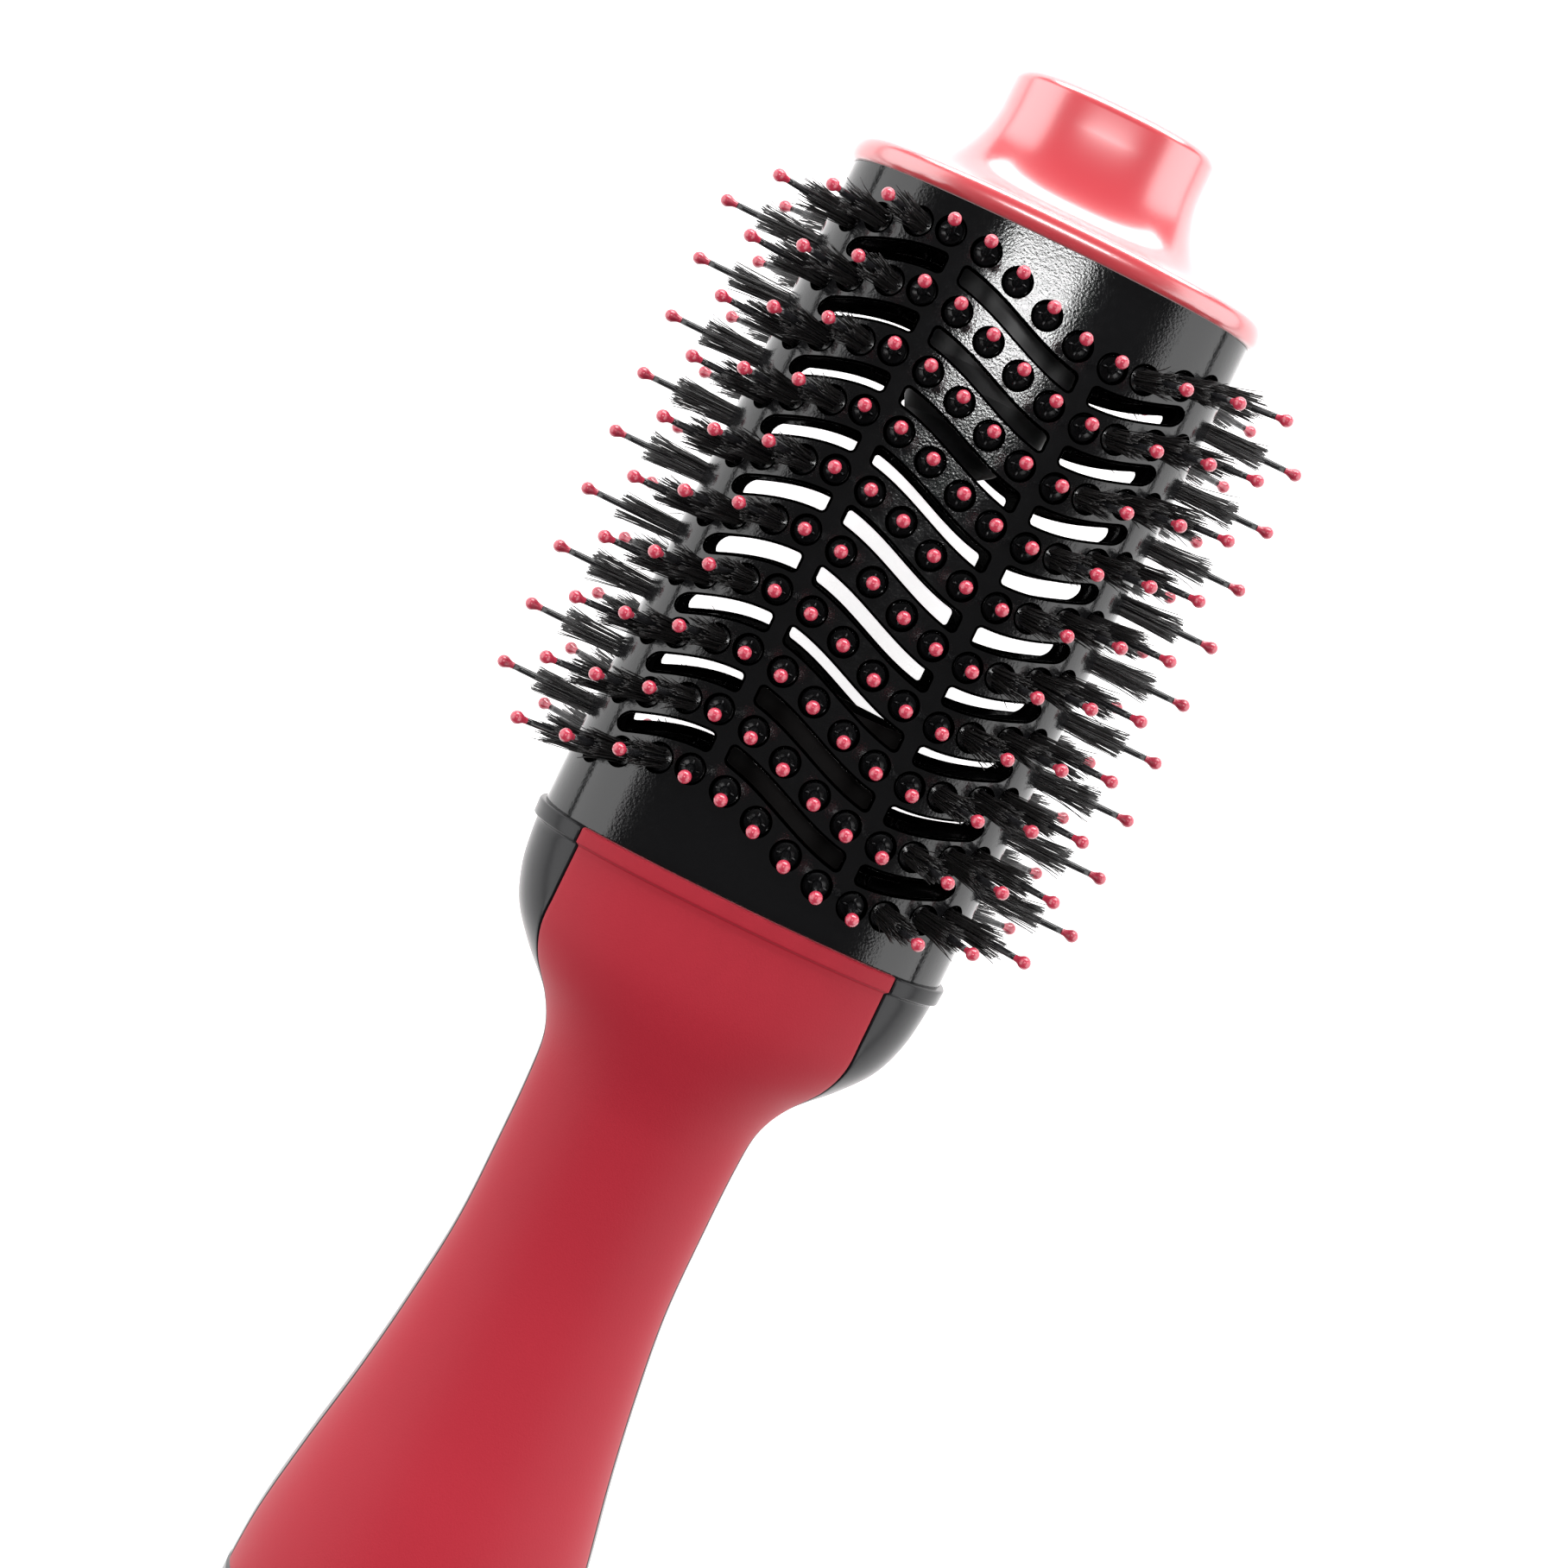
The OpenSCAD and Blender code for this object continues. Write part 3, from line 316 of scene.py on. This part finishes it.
def side_pin_u(pin):
    c, a, r = pin
    return u_at(c + r * math.cos(math.radians(a)))


def shell_holes():
    holes = []
    for i in range(ROWS - 1):
        x0 = (row_x(i) + row_x(i + 1)) / 2
        holes.append(("plan", slot_outline(x0, -SLOT_MID_Y, SLOT_MID_Y, SLOT_CORNER, SLOT_CORNER, 1)))
        for side in (1, -1):
            holes.append(("plan", slot_outline(x0, *SLOT_SIDE_Y, SLOT_CORNER, SLOT_H / 2, side)))
    for i in range(ROWS):
        for y in FACE_PINS:
            holes.append(("skin", circle_outline(row_x(i) + wave(y), u_at(y), SOCKET_R)))
        for side in (1, -1):
            for pin in SIDE_PINS:
                x = side_pin_x(i, side, pin)
                holes.append(("skin", circle_outline(x, side * side_pin_u(pin), SOCKET_R)))
    return holes


FILLET = 0.45
FILLET_A = [math.radians(22.5 * k) for k in range(5)]


def hole_point(kind, p, off, depth):
    """A point of a hole's edge, off outwards and depth under the surface, and the way out of the hole."""
    x, v, nx, nv = p
    if kind == "plan":
        y = v + nv * off
        if depth <= WALL / 2:
            z = height(y, 0) - depth
        else:
            z = height(y, WALL) + (WALL - depth)
        return (x + nx * off, y, z), Vector((nx, nv, 0))
    y, z, ny, nz = skin(v + nv * off, depth)
    return (x + nx * off, y, z), Vector((nx, nv * nz, -nv * ny))


def inside(x, v, ring):
    hit = False
    for (ax, av), (bx, bv) in zip(ring, ring[1:] + ring[:1]):
        if (av > v) != (bv > v) and x < (bx - ax) * (v - av) / (bv - av) + ax:
            hit = not hit
    return hit


def shell_sheet():
    """Triangles of the front shell's sheet, flat in (x, u), round all its holes."""
    x0, x1 = x_at(COLLAR_S + 0.3), x_at(BARREL_S - 0.7)
    edge = EDGE_U - 0.05
    points, edges, rings, places, owner = [], [], [], [], []

    def ring_of(coords):
        start = len(points)
        points.extend(coords)
        edges.extend((start + k, start + (k + 1) % len(coords)) for k in range(len(coords)))
        return range(start, start + len(coords))

    holes = shell_holes()
    for h, (kind, outline) in enumerate(holes):
        coords = [(x + nx * FILLET, v + nv * FILLET) for x, v, nx, nv in outline]
        if kind == "plan":
            coords = [(x, u_at(y)) for x, y in coords]
        places.append(ring_of(coords))
        rings.append(coords)
        owner += [h] * len(coords)
    border = [(x0, -edge)]
    notches = []
    mids = sorted((row_x(i) + row_x(i + 1)) / 2 for i in range(ROWS - 1))
    for mid in mids:
        arc = [
            (mid - SOCKET_R * math.cos(math.pi * k / 14), -edge + SOCKET_R * math.sin(math.pi * k / 14))
            for k in range(15)
        ]
        notches.append(arc)
        border += arc
    border.append((x1, -edge))
    border += [(x, -u) for x, u in reversed(border)]
    notches += [[(x, -u) for x, u in reversed(arc)] for arc in notches]
    ring_of(border)
    owner += [-1] * len(border)
    grid_x = [x0 + (x1 - x0) * k / 30 for k in range(31)]
    grid_u = [edge * k / 34 for k in range(-33, 34)]
    taken = [(sum(p[0] for p in r) / len(r), sum(p[1] for p in r) / len(r), r) for r in rings]
    for gx in grid_x:
        for gu in grid_u:
            if any(
                abs(gx - cx) < 6 and abs(gu - cu) < 14 and
                (inside(gx, gu, r) or min(math.dist((gx, gu), p) for p in r) < 0.5)
                for cx, cu, r in taken
            ):
                continue
            if any(abs(gx - m) < SOCKET_R + 0.5 for m in mids) and abs(gu) > edge - SOCKET_R - 0.5:
                continue
            points.append((gx, gu))
            owner.append(-2)
    verts, _, tris, origin, _, _ = delaunay_2d_cdt([Vector(p) for p in points], edges, [], 0, 1e-5)
    own = [owner[o[0]] if o else -2 for o in origin]
    keep = []
    for t in tris:
        a, b, c = t
        cx = sum(verts[i].x for i in t) / 3
        cu = sum(verts[i].y for i in t) / 3
        if own[a] == own[b] == own[c] and own[a] >= 0 and inside(cx, cu, rings[own[a]]):
            continue
        if own[a] == own[b] == own[c] == -1 and any(inside(cx, cu, arc) for arc in notches):
            continue
        keep.append(t)
    out_of = {i: k for k, o in enumerate(origin) for i in o}
    loops = [[out_of[i] for i in place] for place in places]
    return [(v.x, v.y) for v in verts], keep, holes, loops, border


SHEET = shell_sheet()


def barrel_shell(name, face):
    flat, tris, holes, loops, border = SHEET
    verts, normals, faces = [], [], []
    for depth in (0.0, WALL):
        for x, u in flat:
            y, z, ny, nz = skin(u, depth)
            sign = 1 if depth == 0 else -1
            verts.append((x, y, z))
            normals.append((0, sign * ny, sign * nz))
    n = len(flat)
    for a, b, c in tris:
        faces.append((a, b, c))
        faces.append((a + n, c + n, b + n))
    for (kind, outline), loop in zip(holes, loops):
        count = len(outline)
        previous = loop
        steps = [(a, 1) for a in FILLET_A[1:]] + [(a, -1) for a in reversed(FILLET_A)]
        for a, way in steps:
            off = FILLET * (1 - math.sin(a))
            depth = FILLET * (1 - math.cos(a)) if way > 0 else WALL - FILLET * (1 - math.cos(a))
            current = []
            for p in outline:
                point, away = hole_point(kind, p, off, depth)
                _, _, ny, nz = skin(u_at(p[1]) if kind == "plan" else p[1], 0)
                current.append(len(verts))
                verts.append(point)
                normals.append(tuple(Vector((0, ny, nz)) * (way * math.cos(a)) - away * math.sin(a)))
            for k in range(count):
                k2 = (k + 1) % count
                faces.append((previous[k2], previous[k], current[k], current[k2]))
            previous = current
    for (ax, au), (bx, bu) in zip(border, border[1:] + border[:1]):
        corner = []
        for (x, u), depth in (((ax, au), 0), ((bx, bu), 0), ((bx, bu), WALL), ((ax, au), WALL)):
            y, z, _, _ = skin(u, depth)
            corner.append((x, y, z))
        side = (Vector(corner[1]) - Vector(corner[0])).cross(Vector(corner[3]) - Vector(corner[0]))
        start = len(verts)
        verts += corner
        normals += [tuple(-side)] * 4
        faces.append((start, start + 3, start + 2, start + 1))
    if face < 0:
        verts = [(x, y, -z) for x, y, z in verts]
        normals = [(x, y, -z) for x, y, z in normals]
        faces = [tuple(reversed(f)) for f in faces]
    return add_mesh(name, verts, faces, normals=normals)


# ---- Pins, strips and tufts ----


def axes(direction):
    """Two unit vectors square to a direction that lies in the (Y, Z) plane."""
    u = Vector((1, 0, 0))
    return u, direction.cross(u).normalized()


def ring(centre, u, v, r, n):
    turns = [2 * math.pi * k / n for k in range(n)]
    return [tuple(centre + r * (math.cos(a) * u + math.sin(a) * v)) for a in turns]


def box_between(out, a, b, u, v, hu, hv, slot):
    corners = ((-1, -1), (1, -1), (1, 1), (-1, 1))
    out.tube([[tuple(c + su * hu * u + sv * hv * v) for su, sv in corners] for c in (a, b)], slot)


def pin(out, base, d):
    """A nylon pin on the surface at base, along d: boss, cross fins, tapered shaft and ball tip."""
    u, v = axes(d)
    boss = [(-3.3, 2.2), (-1.75, 2.2), (-1.6, 2.12), (-1.5, 1.95), (-1.5, 0.9), (-1.2, 0.74), (0.4, 0.66)]
    shaft = [(4.0, 0.66), (9.0, 0.62), (13.5, 0.58), (PIN_OUT - 3.1, 0.56)]
    out.tube([ring(base + h * d, u, v, r, 20) for h, r in boss + shaft], 0)
    for w, z in ((u, v), (v, u)):
        for side in (1, -1):
            c = base + side * 1.3 * w
            box_between(out, c - 1.55 * d, c - 0.5 * d, w, z, 0.5, 0.14, 0)
    top = PIN_OUT - TIP_R
    ball = [(top - 1.95, 0.57), (top - 1.35, 0.64), (top - 0.95, 0.8)]
    for a in range(-35, 86, 15):
        ball.append((top + TIP_R * math.sin(math.radians(a)), TIP_R * math.cos(math.radians(a))))
    out.tube([ring(base + h * d, u, v, r, 20) for h, r in ball], 1, cap_start=False)


def strip(out, path):
    """A wavy strip under the barrel's wall: path of (x, top point, normal)."""
    rings = []
    for x, (y, z), (ny, nz) in path:
        low = (y - 1.4 * ny, z - 1.4 * nz)
        a, b = x - STRIP_HALF, x + STRIP_HALF
        rings.append([(a, y, z), (b, y, z), (b, *low), (a, *low)])
    out.tube(rings, 0)


def face_pins(name, face, node):
    out = Builder()
    for i in range(ROWS):
        for y in FACE_PINS:
            z = face * math.sqrt(FACE_R**2 - y * y) - face * FACE_C
            pin(out, Vector((row_x(i) + wave(y), y, z)), Vector((0, 0, face)))
        path = []
        for k in range(25):
            y, z, ny, nz = skin(-19.5 + 39 * k / 24, WALL + 0.1)
            path.append((row_x(i) + wave(y), (y, face * z), (ny, face * nz)))
        strip(out, path)
    return finish_pins(out, name, node)


def side_places(side):
    """(point on the surface, direction) of each pin round a narrow side."""
    places = []
    for i in range(ROWS):
        for c, angle, r in SIDE_PINS:
            a = math.radians(angle)
            for face in (1, -1):
                d = Vector((0, side * math.cos(a), face * math.sin(a)))
                places.append((Vector((side_pin_x(i, side, (c, angle, r)), side * c, 0)) + r * d, d))
    for i in range(ROWS - 1):
        x = (row_x(i) + row_x(i + 1)) / 2
        places.append((Vector((x, side * HALF_W, 0)), Vector((0, side, 0))))
    return places


def side_pins(name, side, node):
    out = Builder()
    for base, d in side_places(side):
        pin(out, base, d)
    for i in range(ROWS):
        path = []
        for k in range(41):
            u = 20.4 + 2 * (EDGE_U - 20.4) * k / 40
            back = u > EDGE_U
            y, z, ny, nz = skin(2 * EDGE_U - u if back else u, WALL + 0.1)
            sign = -1 if back else 1
            x = row_x(i) + wave(side * (y + (WALL + 0.1) * ny))
            path.append((x, (side * y, sign * z), (side * ny, sign * nz)))
        strip(out, path)
    r = SIDE_R - WALL - 0.1
    for i in range(ROWS - 1):
        x = (row_x(i) + row_x(i + 1)) / 2
        path = []
        for k in range(9):
            a = math.radians(-17 + 34 * k / 8)
            ny, nz = side * math.cos(a), math.sin(a)
            path.append((x, (side * SIDE_C + r * ny, r * nz), (ny, nz)))
        strip(out, path)
    return finish_pins(out, name, node)


def finish_pins(out, name, node):
    obj = out.make(name)
    obj.data.materials.append(M["pin_black"])
    obj.data.materials.append(M["pin_tip"])
    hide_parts(node)
    return obj


def bristles(name, side, node, each=76):
    """Tufts of thin three-sided bristles round the side pins, blunt at the end, with a few strays."""
    out = Builder()
    for base, d in side_places(side):
        u, v = axes(d)
        for _ in range(each):
            t, q = rng.uniform(0, 2 * math.pi), math.sqrt(rng.uniform(0.22, 1))
            root = base + TUFT_R * q * (math.cos(t) * u + math.sin(t) * v) - 0.8 * d
            stray = rng.random() < 0.1
            spread = rng.uniform(0.3, 0.95) * q + (rng.uniform(0.3, 1.3) if stray else 0)
            lean = (math.cos(t + rng.gauss(0, 0.35)) * u + math.sin(t + rng.gauss(0, 0.35)) * v) * spread
            bow = rng.gauss(0, 0.12) * u + rng.gauss(0, 0.12) * v
            length = TUFT_OUT + 0.8 - rng.uniform(0, 0.9)
            length -= rng.uniform(0, 1.2) if rng.random() < 0.15 else 0
            r = rng.uniform(0.085, 0.12)
            t2 = rng.uniform(0, 6.28)
            rings = []
            for h, k in ((0, 1.0), (0.45, 1.0), (0.8, 0.95), (1, 0.7)):
                c = root + d * (length * h) + lean * h * h + bow * math.sin(math.pi * h)
                thirds = [t2 + 2.094 * j for j in range(3)]
                rings.append([tuple(c + k * r * (math.cos(a) * u + math.sin(a) * v)) for a in thirds])
            out.tube(rings, 0, cap_start=False)
    obj = out.make(name)
    obj.data.materials.append(M["bristle"])
    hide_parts(node)
    return obj


# ---- Cool tip and handle skins ----


def power(v, p):
    return math.copysign(abs(v) ** p, v)


def oval(s, hw, hd, squareness, n=160):
    q = 2 / squareness
    out = []
    for k in range(n):
        a = 2 * math.pi * k / n
        out.append((x_at(s), hw * power(math.cos(a), q), hd * power(math.sin(a), q)))
    return out


CROWN_HW, CROWN_HD, CROWN_Q = 19.3, 13.2, 2.4
FLANGE_S, FLANGE_HW, FLANGE_HD = 22.8, HALF_W + 0.2, HALF_D + 0.2


def crown(a, inset=0.0):
    """One ring of the crown's concave flare: a runs from 0 at its top to a right angle at the flange."""
    k = math.cos(a) ** 0.8 if a < math.pi / 2 - 1e-6 else 0.0
    hw = FLANGE_HW - (FLANGE_HW - CROWN_HW) * k - inset
    hd = FLANGE_HD - (FLANGE_HD - CROWN_HD) * k - inset
    return oval(6 + (FLANGE_S - 6) * math.sin(a) + inset, hw, hd, CROWN_Q)


def cool_tip():
    out = Builder()
    rad = math.radians
    edge_r = 2.4
    end_hw, end_hd = CROWN_HW - edge_r, CROWN_HD - edge_r
    rings = [oval(0, end_hw * f, end_hd * f, CROWN_Q) for f in (0.25, 0.55, 0.8, 0.93)]
    for a in range(90, -1, -9):
        c, s = math.cos(rad(a)), math.sin(rad(a))
        rings.append(oval(edge_r * (1 - s), end_hw + edge_r * c, end_hd + edge_r * c, CROWN_Q))
    rings += [crown(rad(a)) for a in list(range(2, 85, 3)) + [86, 88]]
    for a in range(0, 181, 12):
        c, s = math.cos(rad(a)), math.sin(rad(a))
        rings.append(oval(FLANGE_S + 2.1 * (1 - c), FLANGE_HW + 1.2 * s, FLANGE_HD + 1.2 * s, CROWN_Q))
    rings += [oval(BARREL_S, HALF_W - inset, HALF_D - inset, CROWN_Q) for inset in (1.0, 2.4)]
    rings += [crown(rad(a), 2.0) for a in range(72, -1, -9)]
    rings.append(oval(2, CROWN_HW - 3, CROWN_HD - 3, CROWN_Q))
    out.tube(rings, 0)
    obj = out.make("cool_tip_skin")
    obj.data.materials.append(M["coral"])
    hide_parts("cool_tip_cap")


# The handle's form: distance after the collar, half-width, half-depth, squareness, panel's half-width
HANDLE = (
    (0, 37.8, 20.9, 2.4, 28.6), (6, 37.4, 21.7, 2.4, 28.6), (12, 36.4, 22.5, 2.38, 28.6),
    (18, 34, 22.7, 2.35, 28.5), (23.5, 29.6, 21.9, 2.3, 26.8), (29.5, 23.8, 20.2, 2.25, 23),
    (35.5, 20.7, 18.5, 2.2, 20.3), (42, 19.9, 17.4, 2.2, 19.5), (56, 19.7, 17, 2.2, 19.3),
    (71, 19.95, 17.6, 2.2, 19.55), (86, 21.6, 19.6, 2.15, 21.2), (101, 23.9, 22.4, 2.1, 23.5),
    (116, 26.8, 25.9, 2.05, 26.4), (130.5, 29.2, 28.8, 2, 28.8), (142.5, 30, 30, 2, 29.6),
)
HANDLE_LEN, RIM_OUT, RIM_LEN, COVER_WALL = 140.3, 0.85, 3.0, 2.2
# The rounding of a plate's long edges: share of the edge's reach, drop under the surface
PLATE_EDGE = ((0, 0.45), (0.1, 0.25), (0.3, 0.13), (0.6, 0.035), (1, 0))
SEAM_A = math.radians(0.2)


def form(h, col):
    """A smooth curve through one column of HANDLE, at distance h after the collar."""
    k = max(i for i in range(len(HANDLE) - 1) if i == 0 or h > HANDLE[i][0])
    p, q = HANDLE[k], HANDLE[k + 1]

    def slope(i):
        a, b = HANDLE[max(i - 1, 0)], HANDLE[min(i + 1, len(HANDLE) - 1)]
        return (b[col] - a[col]) / (b[0] - a[0])

    d = q[0] - p[0]
    t = (h - p[0]) / d
    return (
        (2 * t**3 - 3 * t**2 + 1) * p[col] + (t**3 - 2 * t**2 + t) * slope(k) * d
        + (3 * t**2 - 2 * t**3) * q[col] + (t**3 - t**2) * slope(k + 1) * d
    )


def panel_a(h):
    """Angle on the squared oval at which the red panel's edge lies."""
    return math.acos(min(1.0, (form(h, 4) / form(h, 1)) ** (form(h, 3) / 2)))


def rim(h):
    """The covers' raised lip beside the collar, with rounded corners."""
    if h < 0.45:
        return RIM_OUT - 0.45 + math.sqrt(max(0.0, 0.45**2 - (0.45 - h) ** 2))
    if h < RIM_LEN - 0.35:
        return RIM_OUT
    t = min(1.0, (h - RIM_LEN + 0.35) / 0.7)
    return RIM_OUT * (1 - t * t * (3 - 2 * t))


def handle_point(h, a, out):
    q = 2 / form(h, 3)
    y = (form(h, 1) + out) * power(math.cos(a), q)
    z = (form(h, 2) + out) * power(math.sin(a), q)
    return x_at(COLLAR_S + h), y, z


def handle_plate(name, node, a_from, a_to, flip, material):
    """A plate of the handle's wall between two angles, with rounded edges."""
    steps_h = [0.0, 0.05, 0.15, 0.3, 0.45, 1.2, 2.0] + [RIM_LEN - 0.35 + 0.7 * k / 8 for k in range(9)]
    rest = steps_h[-1]
    steps_h += [rest + (HANDLE_LEN - 0.45 - rest) * k / 120 for k in range(1, 121)]
    steps_h += [HANDLE_LEN - 0.4 + 0.4 * math.sin(math.radians(a)) for a in (30, 60, 90)]
    n = 44
    rings = []
    for h in steps_h:
        a0, a1 = a_from(h), a_to(h)
        near_end = max(0.0, h - (HANDLE_LEN - 0.4)) / 0.4
        fall = 0.4 * (1 - math.sqrt(max(0.0, 1 - near_end**2)))
        reach = 0.45 / max(form(h, 1), form(h, 2))
        ring = []
        for b, drop in PLATE_EDGE:
            ring.append((a0 + b * reach, rim(h) - fall - drop))
        ring += [(a0 + reach + (a1 - a0 - 2 * reach) * k / n, rim(h) - fall) for k in range(1, n)]
        for b, drop in reversed(PLATE_EDGE):
            ring.append((a1 - b * reach, rim(h) - fall - drop))
        ring += [(a1 - (a1 - a0) * k / 12, -COVER_WALL) for k in range(13)]
        points = [handle_point(h, a, o) for a, o in ring]
        rings.append([(x, flip[0] * y, flip[1] * z) for x, y, z in points])
    out = Builder()
    if flip[0] * flip[1] < 0:
        rings = [list(reversed(r)) for r in rings]
    out.tube(rings, 0)
    obj = out.make(name)
    obj.data.materials.append(M[material])
    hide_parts(node)
    return obj


# ---- Assembly ----

for face, word in ((1, "front"), (-1, "back")):
    shell = barrel_shell(f"barrel_{word}_skin", face)
    shell.data.materials.append(M["barrel"])
    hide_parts(f"barrel_{word}_shell")
    face_pins(f"{word}_pins", face, f"{word}_pin_strips")
for side, word in ((1, "left"), (-1, "right")):
    side_pins(f"{word}_pins", side, f"{word}_pin_strips")
    bristles(f"{word}_bristles", side, f"{word}_tufts")
cool_tip()
for sign, word in ((1, "front"), (-1, "back")):
    handle_plate(
        f"handle_{word}_skin", f"handle_{word}_cover",
        lambda h: panel_a(h) + SEAM_A, lambda h: math.pi - panel_a(h) - SEAM_A,
        (1, sign), "soft_red",
    )
for sign, word in ((1, "left"), (-1, "right")):
    handle_plate(
        f"{word}_cheek_skin", f"{word}_cheek",
        lambda h: SEAM_A - panel_a(h), lambda h: panel_a(h) - SEAM_A,
        (sign, 1), "cheek",
    )

slot_of = {entry["node"]: entry["material_slot"] for entry in frame["record"]["subparts"]}
for name, obj in frame["nodes"].items():
    obj.data.materials.clear()
    obj.data.materials.append(SLOTS[slot_of[name]])

# ---- Room, light and camera ----

scene = bpy.context.scene
bpy.ops.mesh.primitive_plane_add(size=24, location=(0.05, 0, -0.0005))
floor = bpy.context.object
floor.name = "floor"
mat, tree, bsdf = shader("white_floor")
bsdf.inputs["Base Color"].default_value = (0.9, 0.9, 0.9, 1)
bsdf.inputs["Roughness"].default_value = 0.9
bsdf.inputs["Emission Color"].default_value = (1, 1, 1, 1)
bsdf.inputs["Emission Strength"].default_value = 0.75
floor.data.materials.append(mat)


def softbox(name, place, tilt_deg, width, depth, radiance):
    """A flat light at place, width by depth in metres, that is turned about X and Y from facing down."""
    light = bpy.data.lights.new(name, "AREA")
    light.shape = "RECTANGLE"
    light.size, light.size_y = width, depth
    light.energy = radiance * math.pi * width * depth
    obj = bpy.data.objects.new(name, light)
    obj.location = place
    obj.rotation_euler = [math.radians(a) for a in tilt_deg]
    scene.collection.objects.link(obj)


softbox("left_box", (0.05, 1.0, 0.62), (-60, 0, 0), 1.8, 1.1, 3.2)
softbox("right_box", (0.05, -1.0, 0.62), (60, 0, 0), 1.8, 1.1, 3.2)
softbox("tip_box", (1.0, 0, 0.30), (0, 76, 0), 0.34, 1.1, 15)
softbox("patch_box", (0.238, 0.0, 1.05), (0, 0, 0), 0.055, 0.36, 46)

world = bpy.data.worlds.new("room")
scene.world = world
world.use_nodes = True
world.node_tree.nodes["Background"].inputs["Color"].default_value = (1, 1, 1, 1)
world.node_tree.nodes["Background"].inputs["Strength"].default_value = 0.12
scene.view_settings.view_transform = "Standard"

camera = bpy.data.cameras.new("camera")
camera.lens, camera.sensor_width = 66.5, 36.0
camera.shift_x, camera.shift_y = -0.0401, -0.1485
eye = bpy.data.objects.new("camera", camera)
tilt = math.radians(25.85)
right, up = Vector((math.sin(tilt), -math.cos(tilt), 0)), Vector((math.cos(tilt), math.sin(tilt), 0))
turn = Matrix((right, up, right.cross(up))).transposed().to_4x4()
eye.matrix_world = Matrix.Translation((0.0869, 0.00945, AXIS_Z * MM + 0.5)) @ turn
scene.collection.objects.link(eye)
scene.camera = eye
